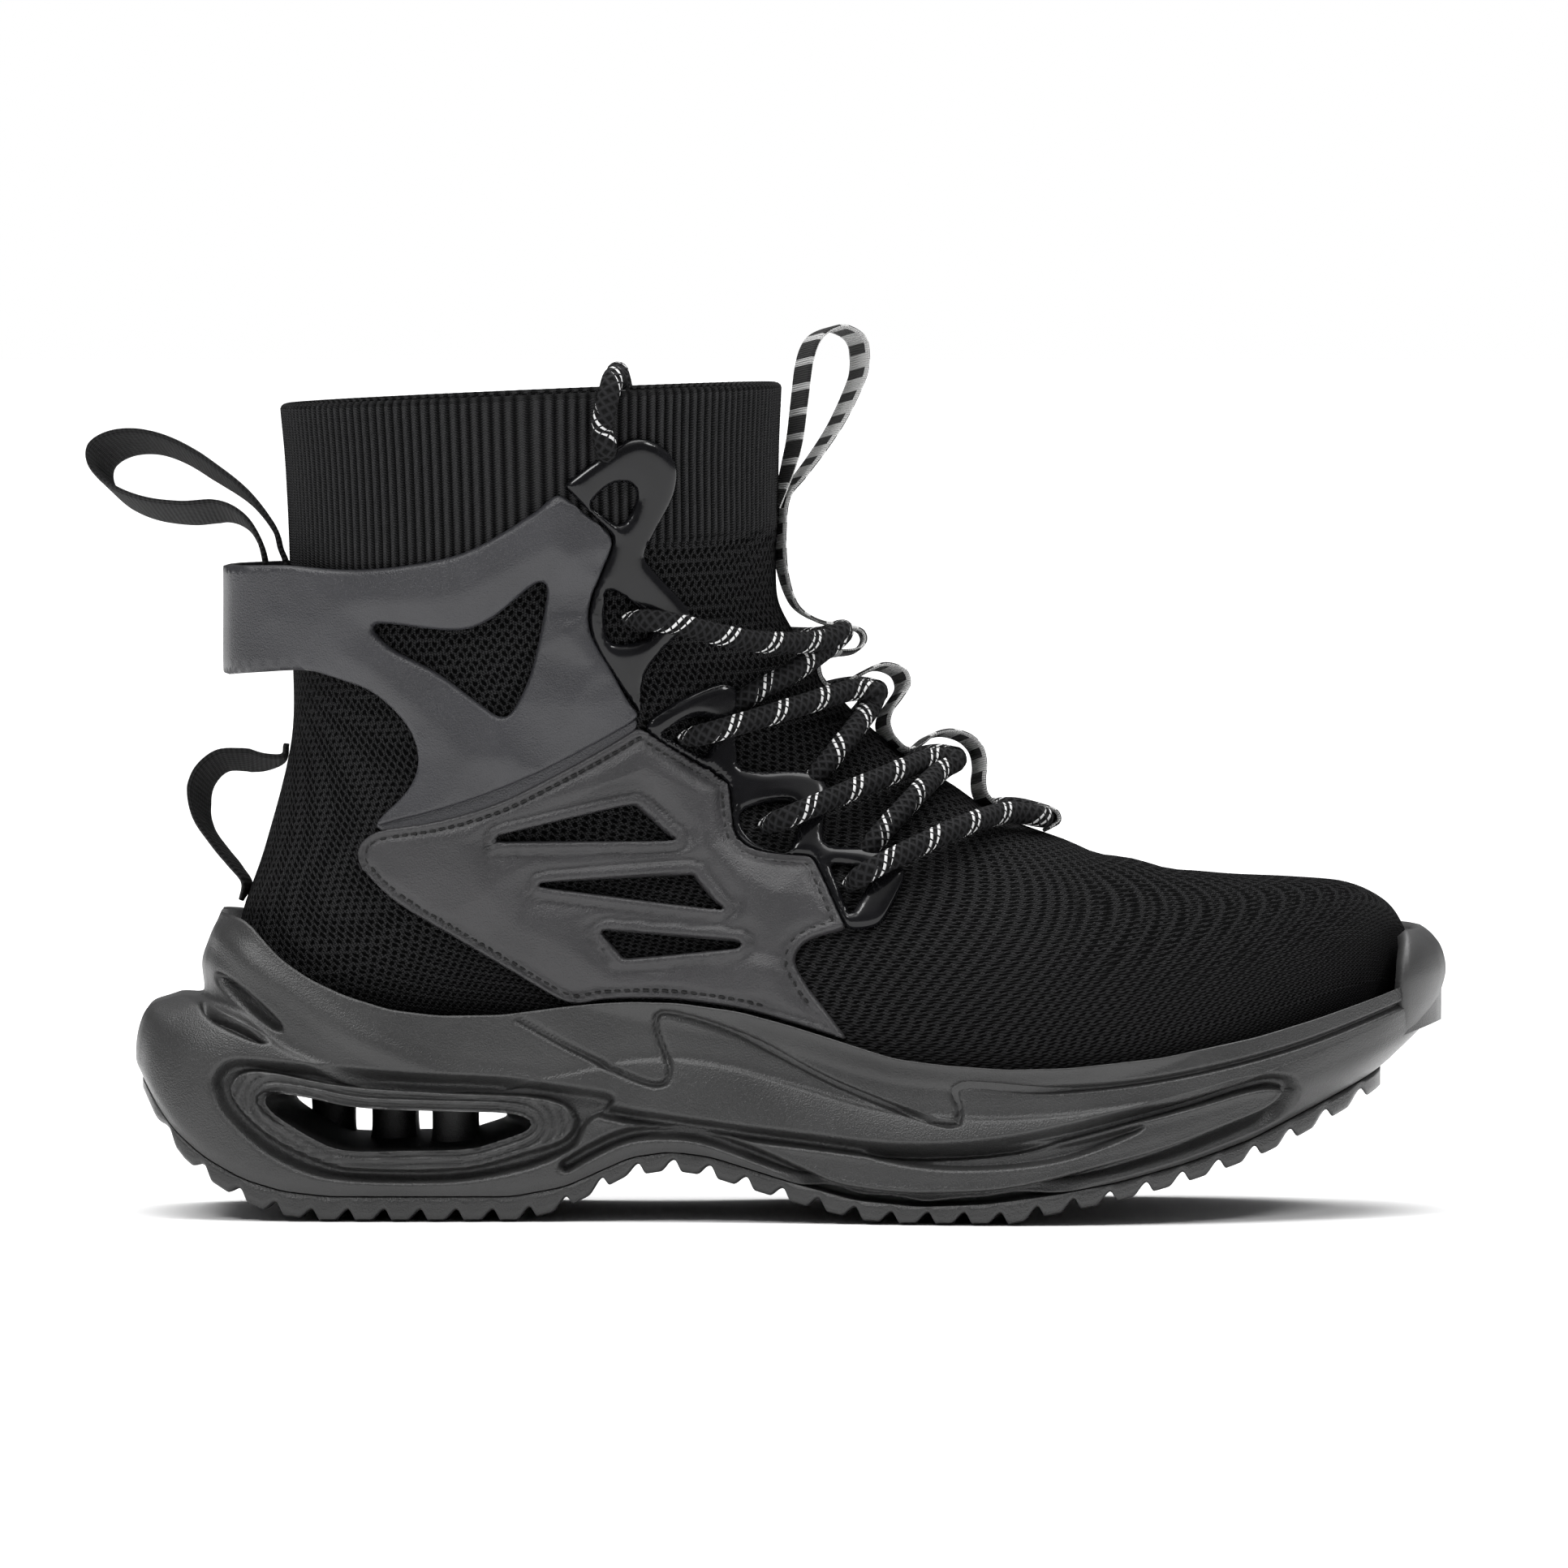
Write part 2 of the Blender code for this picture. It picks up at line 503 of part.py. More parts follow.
def shell(name, stations, turns, inner, outer, band=False, look=None):
    """Closed sheet between two offsets of the foot form."""
    inside = form(stations[:, None], turns[None, :], inner, band)
    outside = form(stations[:, None], turns[None, :], outer, band)
    rows = len(stations)
    columns = len(turns)
    points = [point for ring in inside for point in ring] + [point for ring in outside for point in ring]
    size = rows * columns
    faces = grid_faces(rows, columns, 0, False, True) + grid_faces(rows, columns, size, False, True)
    border = [column for column in range(columns)]
    border += [row * columns + columns - 1 for row in range(1, rows)]
    border += [(rows - 1) * columns + column for column in range(columns - 2, -1, -1)]
    border += [row * columns for row in range(rows - 2, 0, -1)]
    for here, there in zip(border, border[1:] + border[:1]):
        faces.append((here, there, there + size, here + size))
    return add_object(name, points, faces, look)


def overlay(name, outline, holes, side, look, lookup):
    """Piece cut from the sheet round the foot form by its own side-view outline."""
    marks = [spot_on_form(lookup, point) for point in outline]
    stations = [mark[0] for mark in marks]
    turns = [abs(mark[1]) for mark in marks]
    rows = lines_over(np.linspace(0.0, len(STATIONS) - 1.0, RINGS), min(stations) - 0.1,
                      max(stations) + 0.1)
    bounds = sorted((side * (min(turns) - 0.05), side * (max(turns) + 0.05)))
    columns = lines_over(spokes(), bounds[0], bounds[1])
    piece = shell(name, rows, columns, CLEARANCE, CLEARANCE + OVERLAY, False, look)
    reach = side * BALL_WIDTH
    start = side * CLEARANCE
    cutter = flat_prism(name + "_outline", shrink(outline, CLEARANCE), start, reach)
    combine(piece, cutter, "INTERSECT")
    for number, hole in enumerate(holes):
        combine(piece, prism(name + "_hole_" + str(number), hole, start, reach), "DIFFERENCE")
    return piece


def curve_value(pairs, along):
    table = np.asarray(pairs, dtype=float)
    return np.interp(along, table[:, 0], table[:, 1])


def sole_ring(rise, back, front, spread, top_pairs, lookup, inset):
    """One level of the sole wall: lateral side forward, then medial side back."""
    lateral = []
    medial = []
    for share, left, right in PLAN:
        along = back + share * (front - back)
        low = float(level(curve_value(PARTING, along))) + CLEARANCE
        high = float(level(curve_value(top_pairs, along)))
        up = low + rise * (high - low)
        across = float(distance_along(along))
        left_reach = left * spread * BALL_WIDTH - inset
        right_reach = right * spread * BALL_WIDTH - inset
        lateral.append(Vector((across, -left_reach, up)))
        medial.append(Vector((across, right_reach, up)))
    if lookup is not None:
        lateral = [widen(point, -1.0, lookup) for point in lateral]
        medial = [widen(point, 1.0, lookup) for point in medial]
    return lateral + medial[::-1]


def widen(point, side, lookup):
    """Keep a wall point at least the rim thickness outside the foot form."""
    tree, marks = lookup
    found = tree.find(Vector((point.x, 0.0, point.z)))
    station, turn = marks[found[1]]
    skin = form(station, side * abs(turn), RIM)
    reach = max(side * point.y, side * float(skin[1]))
    return Vector((point.x, side * reach, point.z))


def strip_caps(count, rings):
    """Top and bottom of the sole body as strips from side to side."""
    faces = []
    half = count // 2
    for start in (0, (rings - 1) * count):
        for step in range(half - 1):
            faces.append((start + step, start + step + 1, start + count - 2 - step,
                          start + count - 1 - step))
    return faces


def sole_body(name, levels, top_pairs, lookup, inset=0.0, look=None):
    rings = []
    for number, row in enumerate(levels):
        found = dict(zip(LEVEL_COLUMNS, row))
        hug = lookup if number == len(levels) - 1 else None
        rings.append(sole_ring(found["rise"], found["back"], found["front"], found["spread"],
                               top_pairs, hug, inset))
    points = [point for ring in rings for point in ring]
    faces = grid_faces(len(rings), len(rings[0]))
    faces += strip_caps(len(rings[0]), len(rings))
    return add_object(name, points, faces, look)


def stroke(line, width):
    """Outline of a band of the given width along a side-view line."""
    spots = np.array([(distance_along(a), level(b)) for a, b in line], dtype=float)
    lean = np.gradient(spots, axis=0)
    lean = lean / np.linalg.norm(lean, axis=1, keepdims=True)
    normal = np.stack((-lean[:, 1], lean[:, 0]), axis=1)
    return np.concatenate((spots + normal * width / 2.0, (spots - normal * width / 2.0)[::-1]))


def groove_cutter(name, spots, core):
    """Cutter that bites only the skin of the sole wall on both sides."""
    tool = flat_prism(name, spots, -BALL_WIDTH, BALL_WIDTH)
    combine(tool, core, "DIFFERENCE")
    return tool


def build_upper():
    last = len(STATIONS) - 1.0
    upper = form_body("upper", 0.0, 0.0, last, 0.0, "knit")
    hollow = form_body("upper_hollow", -WALL, 0.0, last - 0.30, WALL * 4.0)
    combine(upper, hollow, "DIFFERENCE")
    front = [spot for spot in PLAN if 0.14 < spot[0] < 0.92]
    opening = []
    for share, left, right in front:
        opening.append((share, -left * 0.66))
    for share, left, right in front[::-1]:
        opening.append((share, right * 0.66))
    rings = []
    for height in (-HEEL_HEIGHT, HEEL_HEIGHT * 1.5):
        rings.append([Vector((float(distance_along(share)), side * BALL_WIDTH, height))
                      for share, side in opening])
    combine(upper, closed_body("upper_opening", rings), "DIFFERENCE")
    return upper


def build_insole():
    last = len(STATIONS) - 1.0
    insole = form_body("insole", -WALL - 2.0 * CLEARANCE, 0.0, last - 0.4, 0.0, "insole")
    floor = [(row[2], row[3]) for row in STATIONS if row[0] > 0.54]
    top = [(distance_along(a), level(b) + WALL + INSOLE) for a, b in floor]
    first = top[0]
    final = top[-1]
    outline = [(first[0] - LENGTH / 5.0, first[1])] + top + [(final[0] + LENGTH / 5.0, final[1])]
    outline += [(final[0] + LENGTH / 5.0, -HEEL_HEIGHT), (first[0] - LENGTH / 5.0, -HEEL_HEIGHT)]
    slab = flat_prism("insole_slab", outline, -BALL_WIDTH, BALL_WIDTH)
    combine(insole, slab, "INTERSECT")
    return insole


def build_midsole(lookup):
    midsole = sole_body("midsole", LEVELS, WALL_TOP, lookup, 0.0, "foam")
    last = len(STATIONS) - 1.0
    combine(midsole, form_body("midsole_bed", 1.7 * CLEARANCE, 0.0, last, 0.0), "DIFFERENCE")
    bay = prism("midsole_bay", GUARD_BAY, -BALL_WIDTH, BALL_WIDTH)
    combine(midsole, bay, "DIFFERENCE")
    core = sole_body("midsole_core", LEVELS, WALL_TOP, None, GROOVE)
    moat = groove_cutter("midsole_moat", shrink(MOAT, 0.0), core)
    combine(moat, flat_prism("midsole_ring", shrink(RING, 0.0), -BALL_WIDTH * 2.0, BALL_WIDTH * 2.0),
            "DIFFERENCE")
    combine(midsole, moat, "DIFFERENCE")
    cuts = [shrink(LENS, 0.0), stroke(WAVE, WEDGE)]
    cuts += [shrink(slot, 0.0) for slot in HEEL_SLOTS]
    for number, spots in enumerate(cuts):
        combine(midsole, groove_cutter("midsole_groove_" + str(number), spots, core), "DIFFERENCE")
    window = prism("midsole_window", WINDOW, -BALL_WIDTH, BALL_WIDTH)
    for number, (share, side) in enumerate(PILLARS):
        pillar = upright("midsole_pillar_" + str(number), share, side * BALL_WIDTH / 2.0)
        combine(window, pillar, "DIFFERENCE")
    combine(midsole, window, "DIFFERENCE")
    return midsole


def upright(name, share, aside):
    rings = []
    for height in (0.0, HEEL_HEIGHT * 1.4):
        ring = []
        for number in range(8):
            angle = 2.0 * math.pi * number / 8.0
            ring.append(Vector((float(distance_along(share)) + math.cos(angle) * PILLAR / 2.0,
                                aside + math.sin(angle) * PILLAR / 2.0, height)))
        rings.append(ring)
    return closed_body(name, rings)


def tread_profile():
    """Side-view outline of the outsole with its teeth."""
    points = []
    tooth = FIRST_TOOTH
    while tooth < LAST_TOOTH:
        for part, deep in ((0.0, 1.0), (0.10, 0.0), (0.68, 0.0), (0.78, 1.0)):
            along = tooth + part * TOOTH_PITCH
            root = float(level(curve_value(TREAD, along) + TOOTH_DEPTH))
            tip = float(level(curve_value(TREAD, along)))
            points.append((float(distance_along(along)), root if deep > 0.0 else tip))
        tooth += TOOTH_PITCH
    lowest = LEVELS[0]
    top = []
    for share, left, right in PLAN:
        along = lowest[1] + share * (lowest[2] - lowest[1])
        top.append((float(distance_along(along)), float(level(curve_value(PARTING, along)))))
    return points, top


def build_outsole():
    teeth, top = tread_profile()
    outline = [teeth_point for teeth_point in teeth if teeth_point[0] < top[-1][0]]
    outsole = flat_prism("outsole", outline + top[::-1], -BALL_WIDTH, BALL_WIDTH, "rubber")
    rings = []
    lowest = LEVELS[0]
    for height in (-HEEL_HEIGHT, INSTEP_HEIGHT):
        lateral = []
        medial = []
        for share, left, right in PLAN:
            along = lowest[1] + share * (lowest[2] - lowest[1])
            across = float(distance_along(along))
            lateral.append(Vector((across, -left * lowest[3] * BALL_WIDTH, height)))
            medial.append(Vector((across, right * lowest[3] * BALL_WIDTH, height)))
        rings.append(lateral + medial[::-1])
    combine(outsole, closed_body("outsole_plan", rings), "INTERSECT")
    return outsole


def build_guard(lookup):
    nose_top = ((0.0, NOSE_TOP), (1.0, NOSE_TOP))
    guard = sole_body("toe_guard", NOSE_LEVELS, nose_top, None, 0.0, "rubber")
    shape = flat_prism("toe_guard_outline", shrink(GUARD, CLEARANCE), -BALL_WIDTH, BALL_WIDTH)
    combine(guard, shape, "INTERSECT")
    last = len(STATIONS) - 1.0
    combine(guard, form_body("toe_guard_bed", 2.5 * CLEARANCE, 0.0, last + 0.15, 0.0), "DIFFERENCE")
    return guard


def build_cage():
    turns = [turn for turn in spokes() if turn > CAGE_FRONT * math.pi]
    turns += [turn + math.pi / SPOKES for turn in turns if turn > BAND_START * math.pi]
    turns = sorted(turns)
    around = np.array(turns + [math.pi] + [2.0 * math.pi - turn for turn in turns[::-1]])
    wrapped = np.where(around > math.pi, around - 2.0 * math.pi, around)
    stations = lines_over(np.linspace(0.0, len(STATIONS) - 1.0, RINGS), 1.2, 6.4)
    cage = shell("ankle_cage", stations, wrapped, CLEARANCE, CLEARANCE + OVERLAY, True, "cage")
    shape = flat_prism("ankle_cage_outline", shrink(CAGE, CLEARANCE), -BALL_WIDTH, BALL_WIDTH)
    combine(cage, shape, "INTERSECT")
    combine(cage, prism("ankle_cage_hole", CAGE_HOLE, -BALL_WIDTH, BALL_WIDTH), "DIFFERENCE")
    return cage


def tube(name, path, radius, look=None):
    """Round cord along a path, closed at both ends."""
    path = [Vector(point) for point in path]
    rings = []
    normal = None
    for number, point in enumerate(path):
        before = path[max(number - 1, 0)]
        after = path[min(number + 1, len(path) - 1)]
        tangent = (after - before).normalized()
        if normal is None:
            guide = Vector((0.3, 0.2, 1.0)) if abs(tangent.z) < 0.8 else Vector((1.0, 0.2, 0.1))
            normal = guide
        normal = (normal - tangent * normal.dot(tangent)).normalized()
        side = tangent.cross(normal)
        ring = []
        for step in range(TUBE_SIDES):
            angle = 2.0 * math.pi * step / TUBE_SIDES
            ring.append(point + (normal * math.cos(angle) + side * math.sin(angle)) * radius)
        rings.append(ring)
    return closed_body(name, rings, look)


def ribbon(name, path, width, thick, look):
    """Flat tape along a side-view path of frame points."""
    path = [Vector(point) for point in path]
    rings = []
    for number, point in enumerate(path):
        before = path[max(number - 1, 0)]
        after = path[min(number + 1, len(path) - 1)]
        into = (point - before).normalized() if number > 0 else (after - point).normalized()
        out = (after - point).normalized() if number < len(path) - 1 else into
        tangent = (into + out).normalized()
        stretch = 1.0 / max(tangent.dot(into), 0.75)
        normal = Vector((-tangent.z, 0.0, tangent.x)) * thick / 2.0 * stretch
        half = Vector((0.0, width / 2.0, 0.0))
        rings.append([point + normal + half, point + normal - half, point - normal - half,
                      point - normal + half])
    return closed_body(name, rings, look)


def crossing_centre(row):
    out = LACE_DIAMETER / 2.0 + 2.0 * CLEARANCE + row["lift"] * LACE_DIAMETER
    spot = Vector(form(row["station"], 0.0, out))
    spot.y = 0.0
    return spot


def strand(row, side, lookup):
    """Path of one strand from its hole over the bar and the middle to the far hook."""
    low = LACE_DIAMETER / 2.0 + 2.0 * CLEARANCE
    high = low + OVERLAY + 2.0 * CLEARANCE
    out = LACE_DIAMETER / 2.0 + 2.0 * CLEARANCE + row["lift"] * LACE_DIAMETER
    hole = spot_on_form(lookup, row["hole"])
    bar = spot_on_form(lookup, row["bar"])
    centre = crossing_centre(row)
    path = [Vector(form(hole[0], side * abs(hole[1]), low))]
    path.append(Vector(form(bar[0], side * abs(bar[1]), high)))
    far_low = row["hook"] == (0.0, 0.0)
    for part in (0.35, 0.7):
        station = bar[0] + (row["station"] - bar[0]) * part
        turn = abs(bar[1]) * (1.0 - part)
        path.append(Vector(form(station, side * turn, high + (out - high) * part)))
    sway = LACE_DIAMETER * 0.05
    flat = TAPE_WIDTH * 0.58
    path.append(centre + Vector((0.0, side * flat, sway)))
    path.append(centre)
    path.append(centre + Vector((0.0, -side * flat, -sway)))
    if far_low:
        mirrored = strand_start(row, -side, lookup)
        return path[:-1] + [centre + Vector((0.0, -side * flat, sway))] + mirrored[::-1]
    hook = spot_on_form(lookup, row["hook"])
    for part in (0.35, 0.7):
        station = row["station"] + (hook[0] - row["station"]) * part
        turn = abs(hook[1]) * part
        path.append(Vector(form(station, -side * turn, out + (low - out) * part)))
    path.append(Vector(form(hook[0], -side * abs(hook[1]), low)))
    return path


def strand_start(row, side, lookup):
    low = LACE_DIAMETER / 2.0 + 2.0 * CLEARANCE
    high = low + OVERLAY + 2.0 * CLEARANCE
    out = LACE_DIAMETER / 2.0 + 2.0 * CLEARANCE + row["lift"] * LACE_DIAMETER
    hole = spot_on_form(lookup, row["hole"])
    bar = spot_on_form(lookup, row["bar"])
    path = [Vector(form(hole[0], side * abs(hole[1]), low))]
    path.append(Vector(form(bar[0], side * abs(bar[1]), high)))
    for part in (0.35, 0.7):
        station = bar[0] + (row["station"] - bar[0]) * part
        turn = abs(bar[1]) * (1.0 - part)
        path.append(Vector(form(station, side * turn, high + (out - high) * part)))
    return path


def build_laces(lookup):
    radius = LACE_DIAMETER / 2.0
    for number, values in enumerate(CROSSINGS):
        row = dict(zip(CROSSING_COLUMNS, values))
        name = "lace_cross_" + str(number + 1)
        first = tube(name, strand(row, -1.0, lookup), radius, "lace")
        if row["hook"] != (0.0, 0.0):
            second = tube(name + "_mate", strand(row, 1.0, lookup), radius)
            combine(first, second, "UNION")


def free_end(name, knots, look):
    """Free cord as a bevelled line through its own route points."""
    reads = np.linspace(0.0, len(knots) - 1.0, END_READS)
    route = through([tuple(knot) for knot in knots], reads)
    line = bpy.data.curves.new(name, "CURVE")
    line.dimensions = "3D"
    line.bevel_depth = LACE_DIAMETER / 2.0
    line.bevel_resolution = 2
    line.use_fill_caps = True
    spline = line.splines.new("POLY")
    spline.points.add(len(route) - 1)
    for spot, target in zip(route, spline.points):
        target.co = (*map(float, spot), 1.0)
    line.materials.append(material(look))
    made = bpy.data.objects.new(name, line)
    bpy.data.collections["work_boot"].objects.link(made)
    return made


def build_lace_ends(lookup):
    """Each end climbs the shaft outside, turns over the rim and hangs inside."""
    low = LACE_DIAMETER / 2.0 + 2.0 * CLEARANCE
    for name, side in SIDES.items():
        knots = []
        for point in END_OUTSIDE:
            spot = spot_on_form(lookup, point)
            knots.append(form(spot[0], side * abs(spot[1]), low * 1.1))
        turn = side * abs(spot_on_form(lookup, END_RIM)[1])
        rim = form(0.0, turn, 0.0)
        outward = (form(0.0, turn, low) - rim) / low
        sideways = np.array((low, 0.0, 0.0))
        for step, (across, up) in enumerate(RIM_ARC):
            inward = WALL * (step / (len(RIM_ARC) - 1.0))
            knots.append(rim + outward * (across * low - inward) + np.array((0.0, 0.0, up * low))
                         + sideways * RIM_DRIFT * step)
        for point in END_INSIDE:
            spot = spot_on_form(lookup, point)
            knots.append(form(spot[0], side * abs(spot[1]), -WALL - low * END_SLACK))
        free_end("lace_end_" + name, knots, "lace")


def tape_path():
    """Pull loop, run down the front, then a wave over each lace crossing."""
    path = [place(point) for point in TAPE_LOOP]
    hug = TAPE / 2.0 + CLEARANCE
    radius = LACE_DIAMETER / 2.0 + TAPE / 2.0 + 3.0 * CLEARANCE
    for number, stations in enumerate(TAPE_STATIONS):
        for station in stations:
            spot = Vector(form(station, 0.0, hug))
            spot.y = 0.0
            path.append(spot)
        if number < len(CROSSINGS):
            row = dict(zip(CROSSING_COLUMNS, CROSSINGS[number]))
            centre = crossing_centre(row)
            ridge = Vector(form(row["station"], 0.0, 0.0))
            outward = centre - ridge
            outward.y = 0.0
            outward.normalize()
            ahead = Vector((outward.z, 0.0, -outward.x))
            for step in range(6):
                angle = math.radians(-95.0 + 38.0 * step)
                path.append(centre + (outward * math.cos(angle) + ahead * math.sin(angle)) * radius)
    return path


def build_all():
    fresh_scene()
    lookup = finder()
    build_upper()
    build_insole()
    build_midsole(lookup)
    build_outsole()
    build_guard(lookup)
    build_cage()
    quarter = list(QUARTER_EDGE) + list(QUARTER_REST)
    quarter += [(share, float(curve_value(WALL_TOP, share)) + 0.005) for share in QUARTER_FOOT]
    quarter += list(QUARTER_BACK)
    low_stay = list(STAY_LOW) + list(QUARTER_EDGE[::-1])
    for name, side in SIDES.items():
        overlay("quarter_" + name, quarter, VENTS, side, "panel", lookup)
        overlay("eyestay_top_" + name, STAY_TOP, STAY_TOP_HOLES, side, "gloss", lookup)
        overlay("eyestay_low_" + name, low_stay, STAY_LOW_HOLES, side, "gloss", lookup)
    ribbon("tongue_tape", tape_path(), TAPE_WIDTH, TAPE, "tape")
    ribbon("heel_pull_loop", [place(point) for point in PULL_LOOP], PULL_WIDTH, PULL, "ribbon")
    ribbon("heel_low_loop", [place(point) for point in LOW_LOOP], PULL_WIDTH * 0.75, PULL, "ribbon")
    build_laces(lookup)
    build_lace_ends(lookup)


build_all()
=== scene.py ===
"""Dressed view of the right high-top work boot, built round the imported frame."""
import bpy
import math
import numpy as np
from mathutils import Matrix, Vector
from mathutils.geometry import delaunay_2d_cdt
from mathutils.kdtree import KDTree


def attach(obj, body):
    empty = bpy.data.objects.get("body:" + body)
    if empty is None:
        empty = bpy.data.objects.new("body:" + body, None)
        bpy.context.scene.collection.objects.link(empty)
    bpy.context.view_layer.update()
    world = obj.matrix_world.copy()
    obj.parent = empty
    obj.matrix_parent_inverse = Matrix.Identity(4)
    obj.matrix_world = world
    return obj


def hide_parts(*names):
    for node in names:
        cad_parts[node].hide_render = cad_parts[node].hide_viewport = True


# Driving sizes in metres
LENGTH = 0.310
BALL_WIDTH = 0.104
HEEL_HEIGHT = 0.0388
INSTEP_HEIGHT = 0.0970
SHAFT_HEIGHT = 0.1940
WALL = 0.0025
OVERLAY = 0.0020
CLEARANCE = 0.0003
INSOLE = 0.0040
RIM = 0.0034
LACE_DIAMETER = 0.0052
TAPE_WIDTH = 0.0150
TAPE = 0.0010
PULL_WIDTH = 0.0160
PULL = 0.0016
GROOVE = 0.0016
WEDGE = 0.0022
PILLAR = 0.0070

# Shares of the length and height where the named heights lie
HEEL_PATCH = 0.2346
HEIGHT_SHARES = (0.0, 0.2, 0.5, 1.0)


# Sections of the foot form from the collar round the heel to the toe
STATION_COLUMNS = ("top_along", "top_up", "base_along", "base_up", "half", "aside", "widest",
                   "top_power", "base_power")
STATIONS = (
    (0.492, 1.009, 0.113, 0.983, 0.409, 0.000, 0.50, 2.2, 2.2),
    (0.490, 0.930, 0.117, 0.911, 0.399, 0.000, 0.50, 2.2, 2.2),
    (0.490, 0.851, 0.120, 0.801, 0.380, 0.000, 0.50, 2.2, 2.2),
    (0.493, 0.774, 0.120, 0.692, 0.367, 0.000, 0.50, 2.1, 2.2),
    (0.500, 0.732, 0.119, 0.578, 0.360, 0.000, 0.49, 2.1, 2.2),
    (0.510, 0.695, 0.099, 0.449, 0.356, 0.000, 0.48, 2.0, 2.3),
    (0.518, 0.676, 0.081, 0.364, 0.356, 0.000, 0.47, 2.0, 2.4),
    (0.525, 0.658, 0.076, 0.290, 0.354, 0.000, 0.46, 2.0, 2.5),
    (0.535, 0.637, 0.092, 0.225, 0.352, 0.000, 0.45, 2.0, 2.6),
    (0.549, 0.613, 0.146, 0.199, 0.352, 0.000, 0.44, 2.0, 2.8),
    (0.571, 0.581, 0.244, 0.190, 0.361, 0.003, 0.42, 2.0, 3.0),
    (0.596, 0.550, 0.356, 0.166, 0.380, 0.003, 0.40, 2.0, 3.1),
    (0.624, 0.524, 0.468, 0.128, 0.418, 0.000, 0.38, 2.0, 3.2),
    (0.658, 0.488, 0.568, 0.105, 0.466, -0.005, 0.36, 2.0, 3.3),
    (0.704, 0.460, 0.661, 0.098, 0.498, -0.010, 0.35, 2.0, 3.4),
    (0.760, 0.434, 0.748, 0.108, 0.500, 0.000, 0.36, 2.1, 3.4),
    (0.823, 0.415, 0.820, 0.134, 0.471, 0.019, 0.38, 2.2, 3.3),
    (0.885, 0.409, 0.878, 0.163, 0.412, 0.038, 0.40, 2.3, 3.1),
    (0.928, 0.402, 0.917, 0.188, 0.340, 0.048, 0.43, 2.3, 2.9),
    (0.957, 0.380, 0.944, 0.210, 0.255, 0.058, 0.46, 2.3, 2.6),
    (0.971, 0.350, 0.959, 0.232, 0.165, 0.062, 0.50, 2.2, 2.4),
    (0.977, 0.318, 0.968, 0.266, 0.075, 0.064, 0.50, 2.1, 2.2),
)

# Plan of the sole: reach to each side as shares of the ball width
PLAN_COLUMNS = ("along", "lateral", "medial")
PLAN = (
    (0.000, 0.110, 0.110), (0.004, 0.170, 0.170), (0.015, 0.250, 0.250), (0.040, 0.325, 0.325),
    (0.080, 0.375, 0.375), (0.140, 0.410, 0.405), (0.220, 0.420, 0.415), (0.300, 0.415, 0.410),
    (0.340, 0.416, 0.406), (0.380, 0.420, 0.405), (0.425, 0.430, 0.408), (0.470, 0.444, 0.420),
    (0.520, 0.472, 0.445), (0.570, 0.505, 0.475), (0.620, 0.535, 0.505),
    (0.690, 0.560, 0.535), (0.750, 0.560, 0.548), (0.810, 0.530, 0.545), (0.860, 0.480, 0.525),
    (0.900, 0.420, 0.490), (0.935, 0.350, 0.445), (0.962, 0.280, 0.390), (0.982, 0.200, 0.320),
    (0.994, 0.120, 0.250), (1.000, 0.040, 0.170),
)

# Levels of the sole wall from the parting line up to its top edge
LEVEL_COLUMNS = ("rise", "back", "front", "spread")
LEVELS = (
    (0.00, 0.006, 0.953, 0.970), (0.07, 0.001, 0.964, 0.995), (0.26, 0.003, 0.984, 1.000),
    (0.45, 0.012, 0.991, 0.985), (0.59, 0.032, 0.995, 0.965), (0.65, 0.052, 0.997, 0.945),
    (0.80, 0.052, 0.999, 0.935), (1.00, 0.066, 1.000, 0.915),
)
NOSE_LEVELS = (
    (0.00, 0.006, 0.953, 0.970), (0.10, 0.001, 0.967, 0.995), (0.20, 0.003, 0.984, 1.000),
    (0.36, 0.012, 0.994, 1.000), (0.55, 0.032, 1.000, 0.990), (0.70, 0.052, 1.000, 0.980),
    (0.86, 0.052, 0.995, 0.960), (1.00, 0.066, 0.983, 0.930),
)
NOSE_TOP = 0.350

# Long curves of the sole in the side view as pairs (along, up)
WALL_TOP = (
    (0.000, 0.380), (0.060, 0.372), (0.087, 0.364), (0.099, 0.341), (0.114, 0.316), (0.136, 0.293),
    (0.162, 0.274), (0.197, 0.257), (0.234, 0.250), (0.282, 0.251), (0.330, 0.261), (0.356, 0.265),
    (0.380, 0.267), (0.415, 0.266), (0.462, 0.256), (0.498, 0.241), (0.533, 0.224), (0.557, 0.212),
    (0.580, 0.201), (0.615, 0.194), (0.665, 0.189), (0.712, 0.191), (0.783, 0.203), (0.854, 0.226),
    (0.901, 0.247), (0.948, 0.271), (0.972, 0.285), (1.000, 0.298),
)
PARTING = (
    (0.000, 0.180), (0.006, 0.170), (0.016, 0.142), (0.030, 0.110), (0.055, 0.076), (0.085, 0.050),
    (0.115, 0.036), (0.150, 0.030), (0.290, 0.030), (0.330, 0.042), (0.380, 0.078), (0.410, 0.085),
    (0.440, 0.079), (0.500, 0.050), (0.550, 0.029), (0.600, 0.022), (0.650, 0.026), (0.700, 0.037),
    (0.750, 0.052), (0.800, 0.073), (0.850, 0.100), (0.900, 0.138), (0.953, 0.178), (1.000, 0.215),
)
